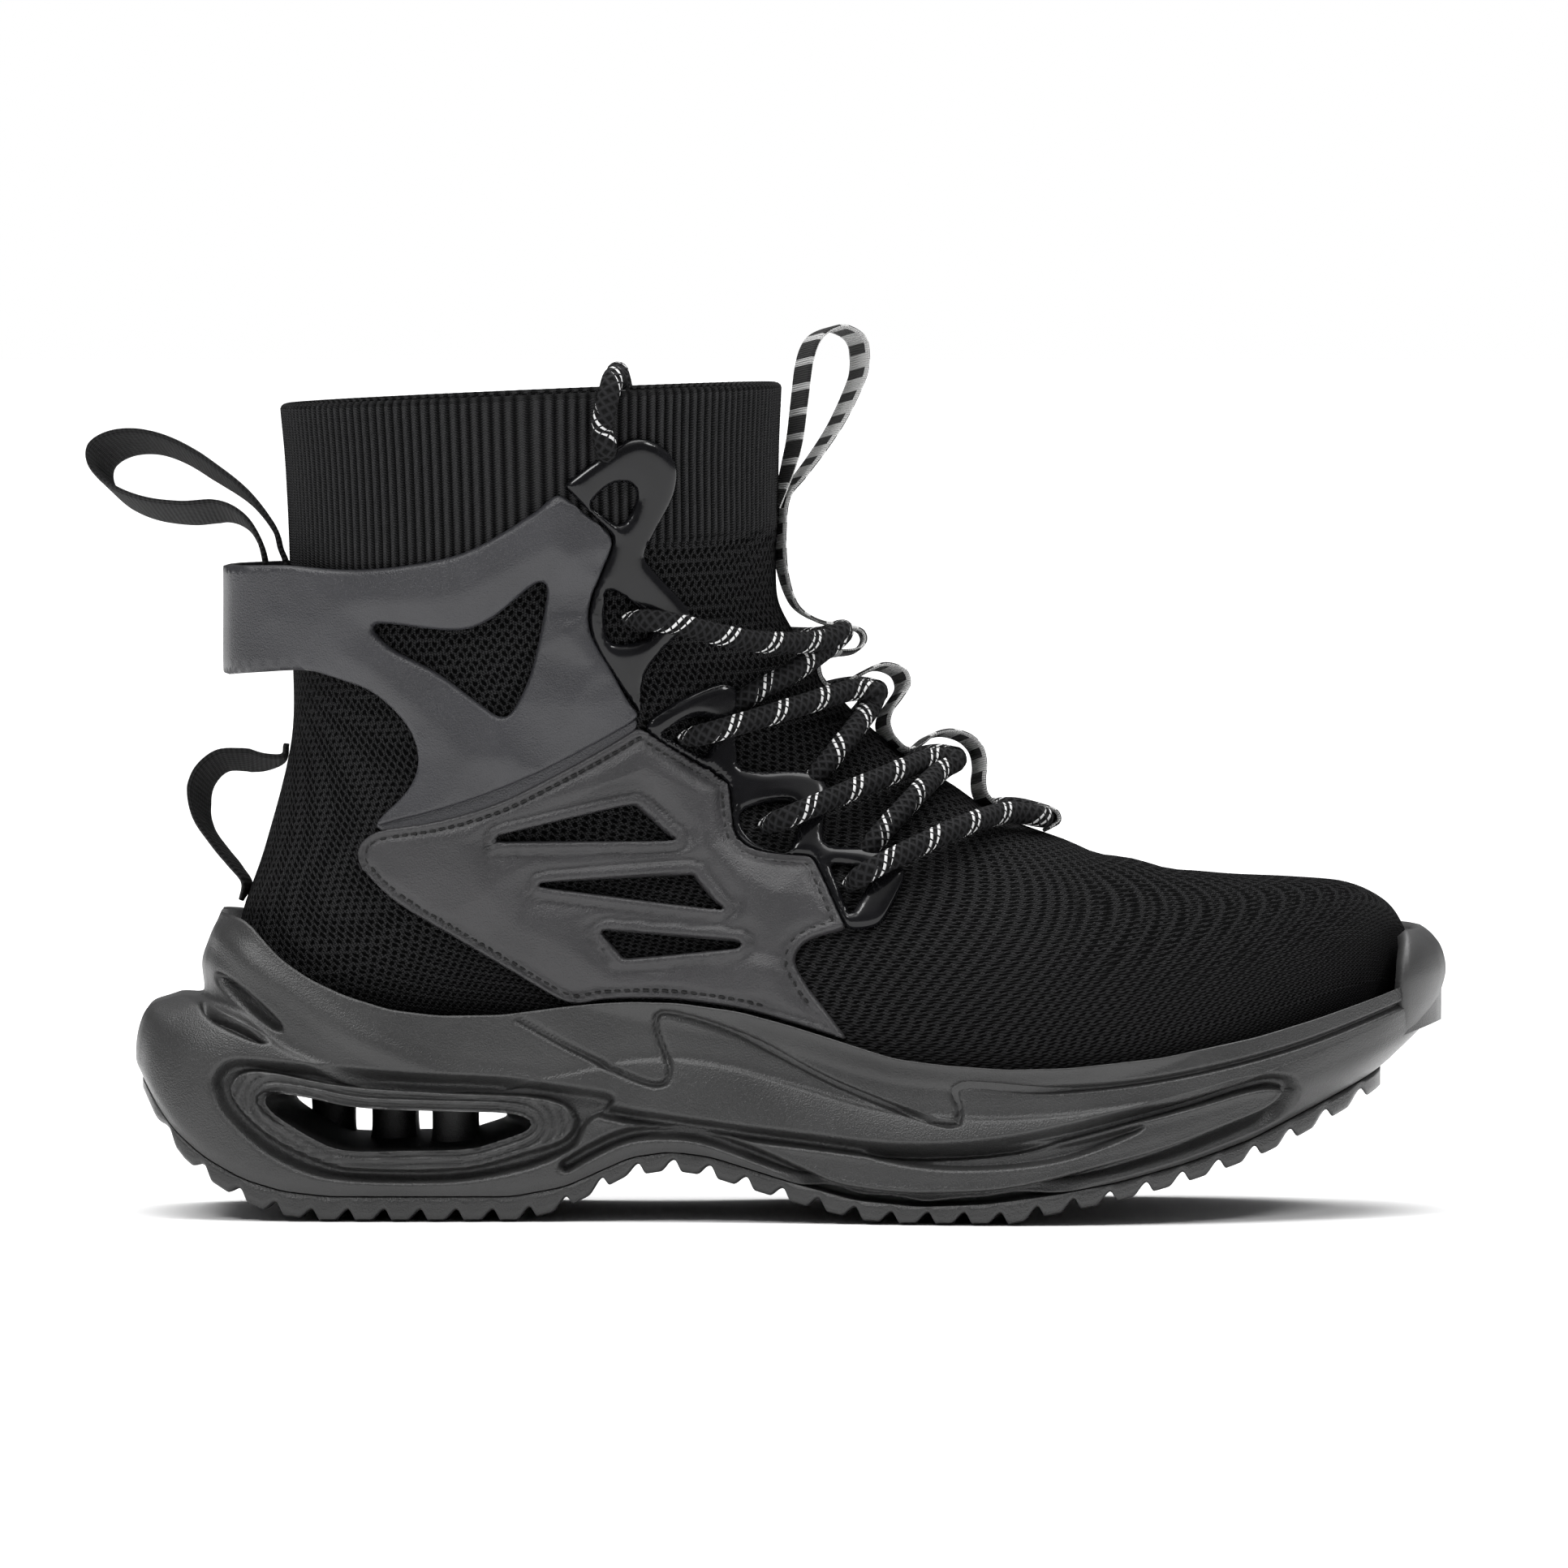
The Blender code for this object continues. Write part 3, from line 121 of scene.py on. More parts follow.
TREAD = (
    (0.000, 0.166), (0.008, 0.150), (0.016, 0.126), (0.027, 0.098), (0.040, 0.073), (0.059, 0.048),
    (0.080, 0.027), (0.105, 0.010), (0.136, 0.000), (0.296, 0.000), (0.327, 0.013), (0.351, 0.033),
    (0.376, 0.054), (0.409, 0.062), (0.437, 0.056), (0.468, 0.041), (0.502, 0.025), (0.530, 0.013),
    (0.558, 0.003), (0.579, 0.000), (0.668, 0.000), (0.693, 0.010), (0.721, 0.019), (0.748, 0.028),
    (0.780, 0.041), (0.807, 0.053), (0.836, 0.068), (0.863, 0.084), (0.890, 0.104), (0.918, 0.127),
    (0.945, 0.149), (1.000, 0.196),
)
TOOTH_PITCH = 0.0275
TOOTH_DEPTH = 0.0134
FIRST_TOOTH = HEEL_PATCH - 8.28 * TOOTH_PITCH
LAST_TOOTH = 0.950

# Cuts in the sole wall, side view
WINDOW = (
    (0.100, 0.152), (0.107, 0.157), (0.138, 0.150), (0.174, 0.139), (0.234, 0.135), (0.282, 0.133),
    (0.303, 0.127), (0.308, 0.118), (0.301, 0.110), (0.274, 0.096), (0.258, 0.089), (0.210, 0.087),
    (0.162, 0.087), (0.138, 0.102), (0.114, 0.125), (0.102, 0.140),
)
RING = (
    (0.072, 0.163), (0.083, 0.182), (0.107, 0.181), (0.162, 0.165), (0.234, 0.157), (0.306, 0.151),
    (0.334, 0.140), (0.339, 0.125), (0.330, 0.102), (0.293, 0.083), (0.258, 0.068), (0.210, 0.065),
    (0.162, 0.068), (0.138, 0.080), (0.109, 0.102), (0.085, 0.133),
)
MOAT = (
    (0.058, 0.171), (0.069, 0.194), (0.083, 0.198), (0.138, 0.191), (0.210, 0.181), (0.282, 0.176),
    (0.333, 0.165), (0.370, 0.156), (0.370, 0.143), (0.345, 0.118), (0.341, 0.090), (0.306, 0.066),
    (0.258, 0.050), (0.210, 0.047), (0.150, 0.052), (0.114, 0.072), (0.090, 0.098), (0.066, 0.137),
)
LENS = (
    (0.548, 0.091), (0.569, 0.094), (0.627, 0.097), (0.702, 0.106), (0.751, 0.122), (0.774, 0.126),
    (0.764, 0.112), (0.702, 0.077), (0.627, 0.067), (0.569, 0.077),
)
HEEL_SLOTS = (
    ((0.061, 0.303), (0.087, 0.277), (0.116, 0.236), (0.117, 0.226), (0.111, 0.228), (0.087, 0.257),
     (0.063, 0.287)),
    ((0.050, 0.267), (0.073, 0.246), (0.107, 0.221), (0.105, 0.213), (0.087, 0.222), (0.056, 0.246)),
)
WAVE = (
    (0.294, 0.246), (0.340, 0.206), (0.396, 0.168), (0.409, 0.186), (0.399, 0.238), (0.408, 0.253),
    (0.467, 0.224), (0.540, 0.166), (0.618, 0.123), (0.629, 0.139), (0.630, 0.168), (0.700, 0.164),
    (0.787, 0.179), (0.882, 0.213), (0.973, 0.263),
)
PILLARS = ((0.150, 0.30), (0.198, -0.12), (0.198, 0.42), (0.245, 0.18), (0.245, -0.38))

# Nose guard in the side view
GUARD = (
    (0.966, 0.300), (0.972, 0.325), (0.976, 0.352), (1.010, 0.360), (1.010, 0.150), (0.949, 0.150),
    (0.953, 0.168), (0.967, 0.205), (0.971, 0.240), (0.972, 0.285),
)
GUARD_BAY = (
    (0.972, 0.400), (0.972, 0.285), (0.971, 0.240), (0.967, 0.205), (0.953, 0.168), (0.945, 0.140),
    (1.020, 0.140), (1.020, 0.400),
)

# Overlays in the side view
CAGE = (
    (0.060, 0.794), (0.116, 0.794), (0.161, 0.789), (0.204, 0.794), (0.246, 0.807), (0.274, 0.827),
    (0.303, 0.855), (0.325, 0.885), (0.368, 0.830), (0.366, 0.818), (0.349, 0.719), (0.388, 0.613),
    (0.359, 0.584), (0.303, 0.539), (0.246, 0.505), (0.204, 0.487), (0.184, 0.477), (0.189, 0.491),
    (0.209, 0.521), (0.218, 0.552), (0.215, 0.584), (0.204, 0.611), (0.184, 0.639), (0.156, 0.656),
    (0.133, 0.668), (0.096, 0.682), (0.060, 0.688),
)
CAGE_HOLE = (
    (0.181, 0.717), (0.189, 0.725), (0.246, 0.717), (0.274, 0.731), (0.303, 0.769), (0.314, 0.778),
    (0.317, 0.764), (0.311, 0.710), (0.303, 0.660), (0.289, 0.616), (0.280, 0.612), (0.269, 0.623),
    (0.232, 0.665), (0.198, 0.693),
)
QUARTER_EDGE = (
    (0.391, 0.595), (0.417, 0.568), (0.452, 0.534), (0.456, 0.514), (0.459, 0.473), (0.470, 0.455),
    (0.487, 0.448), (0.518, 0.444), (0.527, 0.415), (0.541, 0.365), (0.544, 0.359),
)
QUARTER_REST = (
    (0.516, 0.345), (0.506, 0.331), (0.504, 0.315), (0.513, 0.288), (0.530, 0.252),
)
QUARTER_FOOT = (0.544, 0.533, 0.498, 0.462, 0.415, 0.380, 0.356, 0.332)
QUARTER_BACK = (
    (0.290, 0.302), (0.247, 0.343), (0.205, 0.383), (0.185, 0.410), (0.173, 0.432), (0.172, 0.451),
    (0.177, 0.464), (0.191, 0.475), (0.233, 0.486), (0.276, 0.506), (0.317, 0.537), (0.360, 0.574),
    (0.386, 0.599),
)
VENTS = (
    ((0.276, 0.467), (0.374, 0.503), (0.388, 0.498), (0.410, 0.466), (0.405, 0.462), (0.278, 0.461)),
    ((0.314, 0.411), (0.420, 0.421), (0.428, 0.417), (0.446, 0.384), (0.442, 0.380), (0.318, 0.405)),
    ((0.356, 0.354), (0.465, 0.340), (0.464, 0.333), (0.380, 0.320), (0.373, 0.323)),
)
STAY_TOP = (
    (0.329, 0.893), (0.343, 0.910), (0.364, 0.934), (0.379, 0.948), (0.393, 0.949), (0.407, 0.937),
    (0.415, 0.919), (0.416, 0.900), (0.412, 0.875), (0.402, 0.845), (0.393, 0.817), (0.392, 0.801),
    (0.424, 0.744), (0.425, 0.729), (0.417, 0.711), (0.404, 0.691), (0.391, 0.663), (0.389, 0.643),
    (0.388, 0.613), (0.349, 0.719), (0.366, 0.818), (0.368, 0.830),
)
STAY_TOP_HOLES = (
    ((0.348, 0.869), (0.364, 0.893), (0.378, 0.897), (0.385, 0.890), (0.386, 0.877), (0.379, 0.853),
     (0.372, 0.842)),
    ((0.361, 0.767), (0.371, 0.763), (0.388, 0.742), (0.402, 0.724), (0.394, 0.709), (0.382, 0.701),
     (0.370, 0.699), (0.363, 0.705), (0.361, 0.721)),
)
STAY_LOW = (
    (0.396, 0.609), (0.421, 0.634), (0.444, 0.649), (0.455, 0.651), (0.463, 0.640), (0.463, 0.621),
    (0.461, 0.589), (0.462, 0.551), (0.477, 0.545), (0.506, 0.546), (0.523, 0.539), (0.530, 0.526),
    (0.529, 0.503), (0.526, 0.463), (0.532, 0.456), (0.562, 0.453), (0.580, 0.444), (0.589, 0.426),
    (0.586, 0.413), (0.573, 0.373), (0.565, 0.361), (0.548, 0.357),
)
STAY_LOW_HOLES = (
    ((0.400, 0.586), (0.422, 0.607), (0.433, 0.612), (0.440, 0.606), (0.439, 0.582), (0.438, 0.530),
     (0.415, 0.540)),
    ((0.440, 0.500), (0.463, 0.502), (0.487, 0.507), (0.502, 0.503), (0.502, 0.482), (0.498, 0.440),
     (0.481, 0.430), (0.440, 0.440)),
    ((0.531, 0.436), (0.554, 0.432), (0.564, 0.422), (0.556, 0.399), (0.546, 0.373)),
)

# Lacing: where each strand leaves its hole, crosses the bar, meets its mate and ends at a hook
CROSSING_COLUMNS = ("station", "lift", "hole", "bar", "hook")
CROSSINGS = (
    (5.75, 1.15, (0.376, 0.730), (0.404, 0.727), (0.472, 0.638)),
    (9.10, 0.70, (0.419, 0.583), (0.444, 0.595), (0.528, 0.552)),
    (11.80, 0.40, (0.480, 0.480), (0.506, 0.487), (0.569, 0.466)),
    (13.70, 0.00, (0.544, 0.410), (0.567, 0.421), (0.0, 0.0)),
)
END_OUTSIDE = ((0.360, 0.945), (0.357, 0.962))
END_RIM = (0.360, 0.992)
RIM_ARC = ((1.2, -0.8), (1.0, 0.85), (0.0, 1.45), (-1.15, 0.85), (-1.5, -0.8))
RIM_DRIFT = 0.45
END_INSIDE = ((0.390, 0.940), (0.393, 0.890), (0.394, 0.840))
END_SLACK = 1.6
END_READS = 20

# Ribbons in the side view
TAPE_LOOP = (
    (0.494, 0.841), (0.498, 0.881), (0.508, 0.930), (0.512, 0.990), (0.518, 1.050), (0.530, 1.081),
    (0.544, 1.081), (0.553, 1.054), (0.549, 1.010), (0.539, 0.970), (0.523, 0.925), (0.509, 0.885),
    (0.502, 0.841), (0.502, 0.791),
)
TAPE_STATIONS = ((4.2,), (7.0, 8.0), (10.2, 10.8), (12.5, 12.9), (14.2,))
PULL_LOOP = (
    (0.1160, 0.762), (0.1155, 0.791), (0.111, 0.811), (0.106, 0.836), (0.088, 0.873), (0.063, 0.903),
    (0.035, 0.930), (0.011, 0.942), (-0.011, 0.940), (-0.026, 0.925), (-0.026, 0.901),
    (-0.012, 0.877), (0.011, 0.861), (0.039, 0.855), (0.067, 0.857), (0.084, 0.845), (0.094, 0.823),
    (0.099, 0.797), (0.100, 0.765),
)
LOW_LOOP = (
    (0.1150, 0.572), (0.1126, 0.555), (0.098, 0.550), (0.082, 0.553), (0.065, 0.551), (0.052, 0.531),
    (0.048, 0.503), (0.052, 0.474), (0.063, 0.448), (0.076, 0.422), (0.0846, 0.402), (0.0806, 0.382),
)
BAND_REACH = 0.046
BAND_START = 0.72
BAND_FULL = 0.92
CAGE_FRONT = 0.32

# Soft creases of the knit: station, turn, half length, half width, depth as a share of the wall
CREASES = (
    (3.6, 0.35, 0.9, 0.5, 0.45), (3.6, -0.35, 0.9, 0.5, 0.45),
    (14.6, 0.0, 0.30, 0.9, 0.40), (15.5, 0.2, 0.28, 0.8, 0.30),
)


def distance_along(share):
    return (np.asarray(share) - HEEL_PATCH) * LENGTH


def level(share):
    """Height of a share, taken through the heel, instep and shaft heights."""
    share = np.asarray(share, dtype=float)
    heights = (0.0, HEEL_HEIGHT, INSTEP_HEIGHT, SHAFT_HEIGHT)
    steepness = (SHAFT_HEIGHT - INSTEP_HEIGHT) / (HEIGHT_SHARES[3] - HEIGHT_SHARES[2])
    over = np.maximum(share - HEIGHT_SHARES[3], 0.0) * steepness
    under = np.minimum(share, 0.0) * HEEL_HEIGHT / HEIGHT_SHARES[1]
    return np.interp(share, HEIGHT_SHARES, heights) + over + under


def place(point, aside=0.0):
    """Side-view shares to a point in the frame."""
    return Vector((float(distance_along(point[0])), float(aside), float(level(point[1]))))


def through(rows, at):
    """Smooth curve through evenly counted rows, read at fractional row numbers."""
    rows = np.asarray(rows, dtype=float)
    slopes = np.gradient(rows, axis=0)
    at = np.asarray(at, dtype=float)
    start = np.clip(np.floor(at).astype(int), 0, len(rows) - 2)
    part = (at - start)[..., None]
    ahead = start + 1
    squared = part * part
    cubed = squared * part
    return ((2 * cubed - 3 * squared + 1) * rows[start] + (cubed - 2 * squared + part) * slopes[start]
            + (3 * squared - 2 * cubed) * rows[ahead] + (cubed - squared) * slopes[ahead])


def soft_step(value, low, high):
    part = np.clip((value - low) / (high - low), 0.0, 1.0)
    return part * part * (3.0 - 2.0 * part)


def section_points(station, turn, band):
    """Points of the foot form: station runs collar to toe, turn runs from the top ridge."""
    found = dict(zip(STATION_COLUMNS, np.moveaxis(through(STATIONS, station), -1, 0)))
    cosine = np.cos(turn)
    sine = np.sin(turn)
    upper_half = cosine >= 0.0
    power = np.where(upper_half, found["top_power"], found["base_power"])
    reach = np.abs(cosine) ** (2.0 / power)
    across = np.sign(sine) * np.abs(sine) ** (2.0 / power)
    centre_along = found["base_along"] + found["widest"] * (found["top_along"] - found["base_along"])
    centre_up = found["base_up"] + found["widest"] * (found["top_up"] - found["base_up"])
    goal_along = np.where(upper_half, found["top_along"], found["base_along"])
    goal_up = np.where(upper_half, found["top_up"], found["base_up"])
    along = centre_along + reach * (goal_along - centre_along)
    up = centre_up + reach * (goal_up - centre_up)
    if band:
        along = along - BAND_REACH * soft_step(np.abs(turn) / math.pi, BAND_START, BAND_FULL)
    aside = (found["aside"] + found["half"] * across) * BALL_WIDTH
    return np.stack((distance_along(along), aside, level(up)), axis=-1)


def crease_depth(station, turn):
    depth = np.zeros(np.shape(turn))
    for middle, side, long_way, wide_way, share in CREASES:
        away = ((station - middle) / long_way) ** 2 + ((turn - side) / wide_way) ** 2
        depth = depth + share * WALL * np.exp(-away)
    return depth


def form(station, turn, out=0.0, band=False):
    """Foot form moved outward along its own normal."""
    station, turn = np.broadcast_arrays(np.asarray(station, float), np.asarray(turn, float))
    here = section_points(station, turn, band)
    down = (section_points(station + SLOPE_STEP, turn, band)
            - section_points(station - SLOPE_STEP, turn, band))
    round_way = (section_points(station, turn + SLOPE_STEP, band)
                 - section_points(station, turn - SLOPE_STEP, band))
    normal = np.cross(down, round_way)
    normal = normal / np.linalg.norm(normal, axis=-1, keepdims=True)
    move = out - crease_depth(station, turn)
    return here + normal * np.asarray(move)[..., None]


# ---- helpers
BODY = "root"
SIDES = (("lateral", -1.0), ("medial", 1.0))
LAST = len(STATIONS) - 1.0
SLOPE_STEP = 0.01


def spline_read(rows, step):
    """Evenly spaced points along the smooth curve through the rows."""
    rows = np.asarray(rows, dtype=float)
    dense = through(rows, np.linspace(0.0, len(rows) - 1.0, 24 * len(rows)))
    run = np.concatenate(([0.0], np.cumsum(np.linalg.norm(np.diff(dense, axis=0), axis=1))))
    count = max(int(run[-1] / step) + 1, 2)
    marks = np.linspace(0.0, run[-1], count)
    return np.stack([np.interp(marks, run, dense[:, k]) for k in range(dense.shape[1])], axis=1)


def flat(points):
    """Side-view shares to metres."""
    table = np.asarray(points, dtype=float)
    return np.stack((distance_along(table[:, 0]), level(table[:, 1])), axis=1)


def smooth_outline(spots, step, corner=48.0, relax=2):
    """Closed outline in metres, curved between its corners."""
    spots = np.asarray(spots, dtype=float)
    before = spots - np.roll(spots, 1, axis=0)
    after = np.roll(spots, -1, axis=0) - spots
    bend = np.degrees(np.abs(np.arctan2(before[:, 0] * after[:, 1] - before[:, 1] * after[:, 0],
                                        np.sum(before * after, axis=1))))
    corners = list(np.nonzero(bend > corner)[0])
    if len(corners) < 2:
        corners = [0, len(spots) // 2]
    found = []
    for here, there in zip(corners, corners[1:] + [corners[0] + len(spots)]):
        run = spots[[k % len(spots) for k in range(here, there + 1)]]
        found.append(spline_read(run, step)[:-1])
    line = np.concatenate(found)
    for _ in range(relax):
        line = 0.5 * line + 0.25 * (np.roll(line, 1, axis=0) + np.roll(line, -1, axis=0))
    return line


def line_distance(points, line, closed=False):
    """Distance of each point to a polyline in its own plane."""
    points = np.asarray(points, dtype=float)
    line = np.asarray(line, dtype=float)
    starts = line if closed else line[:-1]
    ends = np.roll(line, -1, axis=0) if closed else line[1:]
    best = np.full(len(points), 1e9)
    for a, b in zip(starts, ends):
        way = b - a
        part = np.clip(((points - a) @ way) / max(way @ way, 1e-18), 0.0, 1.0)
        best = np.minimum(best, np.linalg.norm(points - a - part[:, None] * way, axis=1))
    return best


def inside(points, line):
    points = np.asarray(points, dtype=float)
    hit = np.zeros(len(points), dtype=bool)
    for a, b in zip(line, np.roll(line, -1, axis=0)):
        span = (a[1] > points[:, 1]) != (b[1] > points[:, 1])
        rise = b[1] - a[1] if abs(b[1] - a[1]) > 1e-12 else 1e-12
        hit ^= span & (points[:, 0] < (b[0] - a[0]) * (points[:, 1] - a[1]) / rise + a[0])
    return hit


def depth_in(points, line):
    """Positive inside a closed outline, negative outside."""
    away = line_distance(points, line, True)
    return np.where(inside(points, line), away, -away)


def blend_step(value, low, high):
    part = np.clip((value - low) / (high - low), 0.0, 1.0)
    return part * part * (3.0 - 2.0 * part)


class Lookup:
    """Side-view place to station and turn on one offset of the form."""

    def __init__(self, band=False):
        self.band = band
        stations = np.arange(-0.5, LAST + 0.01, 0.08)
        turns = np.linspace(0.0, math.pi, 97)
        grid = form(stations[:, None], turns[None, :], OVERLAY, band)
        self.tree = KDTree(grid.shape[0] * grid.shape[1])
        self.marks = []
        for row, station in enumerate(stations):
            for column, turn in enumerate(turns):
                spot = grid[row, column]
                self.tree.insert((spot[0], spot[2], 0.0), len(self.marks))
                self.marks.append((station, turn))
        self.tree.balance()

    def read(self, spots, side):
        """Refined station and turn of many side-view points on one side."""
        marks = np.array([self.marks[self.tree.find((a, b, 0.0))[1]] for a, b in spots])
        station = marks[:, 0]
        turn = marks[:, 1]
        goal = np.asarray(spots, dtype=float)
        tick = 0.004
        for _ in range(5):
            here = form(station, side * turn, OVERLAY, self.band)[:, ::2]
            by_station = (form(station + tick, side * turn, OVERLAY, self.band)[:, ::2] - here) / tick
            by_turn = (form(station, side * (turn + tick), OVERLAY, self.band)[:, ::2] - here) / tick
            gap = goal - here
            size = by_station[:, 0] * by_turn[:, 1] - by_station[:, 1] * by_turn[:, 0]
            size = np.where(np.abs(size) < 1e-6, 1e-6, size)
            step_a = (gap[:, 0] * by_turn[:, 1] - gap[:, 1] * by_turn[:, 0]) / size
            step_b = (by_station[:, 0] * gap[:, 1] - by_station[:, 1] * gap[:, 0]) / size
            station = np.clip(station + np.clip(step_a, -0.15, 0.15), -0.5, LAST)
            turn = np.clip(turn + np.clip(step_b, -0.06, 0.06), 0.0, math.pi)
        return station, turn


def make_piece(name, points, faces, look, nodes=(), smooth=True, attributes=None):
    mesh = bpy.data.meshes.new(name)
    mesh.from_pydata(np.asarray(points, dtype=float).tolist(), [], faces)
    mesh.update()
    if attributes:
        for key, values in attributes.items():
            layer = mesh.attributes.new(key, "FLOAT", "POINT")
            layer.data.foreach_set("value", np.asarray(values, dtype=np.float32))
    made = bpy.data.objects.new(name, mesh)
    bpy.context.scene.collection.objects.link(made)
    mesh.materials.append(look[0])
    if smooth:
        mesh.shade_smooth()
    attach(made, BODY)
    if nodes:
        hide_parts(*nodes)
    return made


def grid_quads(rows, columns, closed=True, start=0, flip=False):
    row = np.arange(rows - 1)[:, None] * columns
    column = np.arange(columns if closed else columns - 1)[None, :]
    after = (column + 1) % columns
    quads = np.stack((start + row + column, start + row + after, start + row + columns + after,
                      start + row + columns + column), axis=-1).reshape(-1, 4)
    if flip:
        quads = quads[:, ::-1]
    return quads.tolist()


def patch(outline, holes, side, lookup, grain):
    """Triangles over an outline in station and turn, for one side."""
    loops = [outline] + list(holes)
    marks = []
    edges = []
    scale = np.array((0.012, 0.040))
    count = 0
    loops_flat = []
    for loop in loops:
        station, turn = lookup.read(loop, side)
        here = np.stack((station, turn), axis=1) * scale
        loops_flat.append(here)
        edges += [(count + k, count + (k + 1) % len(here)) for k in range(len(here))]
        marks.append(here)
        count += len(here)
    return weave(loops_flat, marks, edges, scale, grain)


def weave(loops_flat, marks, edges, scale, grain):
    border = np.concatenate(loops_flat)
    low = border.min(axis=0)
    high = border.max(axis=0)
    extra = []
    for number, loop in enumerate(loops_flat):
        ahead = np.roll(loop, -1, axis=0) - np.roll(loop, 1, axis=0)
        ahead = ahead / np.linalg.norm(ahead, axis=1, keepdims=True)
        normal = np.stack((-ahead[:, 1], ahead[:, 0]), axis=1)
        for away in (0.35, 0.75, 1.3, 2.0):
            for way in (1.0, -1.0):
                extra.append(loop + normal * way * away * grain * 0.5)
    columns = np.arange(low[0], high[0], grain * 0.8)
    rows = np.arange(low[1], high[1], grain * 0.8)
    mesh_a, mesh_b = np.meshgrid(columns, rows, indexing="ij")
    mesh_b = mesh_b + (np.arange(len(columns)) % 2)[:, None] * grain * 0.4
    grid = np.stack((mesh_a.ravel(), mesh_b.ravel()), axis=1)
    near = []
    for cloud, gap in ((np.concatenate(extra), 0.14), (grid, 1.15)):
        keep = inside(cloud, loops_flat[0])
        for hole in loops_flat[1:]:
            keep &= ~inside(cloud, hole)
        cloud = cloud[keep]
        away = nearest(cloud, border)
        near.append(cloud[away > gap * grain * 0.5])
    points = np.concatenate([border] + near)
    result = delaunay_2d_cdt([Vector(p) for p in points], edges, [], 0, 1e-7)
    spots = np.array([tuple(v) for v in result[0]])
    faces = np.array(result[2])
    centre = spots[faces].mean(axis=1)
    keep = inside(centre, loops_flat[0])
    for hole in loops_flat[1:]:
        keep &= ~inside(centre, hole)
    faces = faces[keep]
    used = np.unique(faces)
    rename = np.full(len(spots), -1)
    rename[used] = np.arange(len(used))
    faces = rename[faces]
    spots = spots[used] / scale
    return spots[:, 0], spots[:, 1], faces


def nearest(points, cloud):
    tree = KDTree(len(cloud))
    for number, spot in enumerate(cloud):
        tree.insert(tuple(spot) + (0.0,) * (3 - len(spot)), number)
    tree.balance()
    return np.array([tree.find(tuple(spot) + (0.0,) * (3 - len(spot)))[2] for spot in points])


def border_edges(faces):
    """Directed edges that only one triangle uses."""
    seen = {}
    for a, b, c in faces:
        for edge in ((a, b), (b, c), (c, a)):
            seen[edge] = True
    return [edge for edge in seen if (edge[1], edge[0]) not in seen]


def raised_patch(name, station, turn, faces, side, thick, edge, relief, look, nodes, band=False,
                 under=0.0):
    """Closed sheet on the form with rounded edges and a relief of its own."""
    rim = border_edges(faces)
    base = form(station, side * turn, CLEARANCE, band)
    rim_spots = base[np.unique(np.array(rim).ravel())]
    away = nearest(base, rim_spots)
    part = np.clip(away / edge, 0.0, 1.0)
    height = thick * (0.30 + 0.70 * np.sqrt(1.0 - (1.0 - part) ** 2))
    side_view = base[:, ::2]
    if relief is not None:
        height = height + relief(side_view, away)
    top = form(station, side * turn, CLEARANCE + height, band)
    bottom = form(station, side * turn, under, band)
    total = len(top)
    order = faces if side > 0.0 else faces[:, ::-1]
    rim = rim if side > 0.0 else [(b, a) for a, b in rim]
    solid = order.tolist() + (order[:, ::-1] + total).tolist()
    solid += [(b, a, a + total, b + total) for a, b in rim]
    spots = np.concatenate((top, bottom))
    attributes = {"edge": np.concatenate((away, away * 0.0)) * 1000.0}
    return make_piece(name, spots, solid, look, nodes, True, attributes)


# ---- materials
def new_material(name):
    made = bpy.data.materials.new(name)
    made.use_nodes = True
    tree = made.node_tree
    return made, tree, tree.nodes["Principled BSDF"]


def node(tree, kind, inputs=None, **settings):
    made = tree.nodes.new(kind)
    for key, value in settings.items():
        setattr(made, key, value)
    for key, value in (inputs or {}).items():
        if hasattr(value, "is_output"):
            tree.links.new(value, made.inputs[key])
        else:
            made.inputs[key].default_value = value
    return made


def bump(tree, shader, height, distance, strength=1.0, before=None):
    inputs = {"Height": height, "Distance": distance, "Strength": strength}
    if before is not None:
        inputs["Normal"] = before
    made = node(tree, "ShaderNodeBump", inputs)
    tree.links.new(made.outputs["Normal"], shader.inputs["Normal"])
    return made.outputs["Normal"]


def ramp(tree, factor, stops):
    made = node(tree, "ShaderNodeValToRGB", {"Fac": factor})
    band = made.color_ramp
    while len(band.elements) < len(stops):
        band.elements.new(0.5)
    for element, (spot, colour) in zip(band.elements, stops):
        element.position = spot
        element.color = (*colour, 1.0) if len(colour) == 3 else colour
    return made.outputs["Color"]


def moulded(name, dark, light, rough, grain=0.00018, coat=0.0):
    made, tree, shader = new_material(name)
    place_node = node(tree, "ShaderNodeTexCoord")
    cloud = node(tree, "ShaderNodeTexNoise", {"Vector": place_node.outputs["Object"], "Scale": 55.0,
                                              "Detail": 4.0})
    colour = ramp(tree, cloud.outputs["Fac"], ((0.35, dark), (0.68, light)))
    tree.links.new(colour, shader.inputs["Base Color"])
    shader.inputs["Roughness"].default_value = rough
    shader.inputs["Coat Weight"].default_value = coat
    fine = node(tree, "ShaderNodeTexNoise", {"Vector": place_node.outputs["Object"], "Scale": 2600.0,
                                             "Detail": 2.0})
    bump(tree, shader, fine.outputs["Fac"], grain)
    return made


def maths(tree, operation, first, second=None, third=None):
    inputs = {0: first}
    if second is not None:
        inputs[1] = second
    if third is not None:
        inputs[2] = third
    return node(tree, "ShaderNodeMath", inputs, operation=operation).outputs[0]


def attribute(tree, name):
    return node(tree, "ShaderNodeAttribute", attribute_name=name).outputs["Fac"]


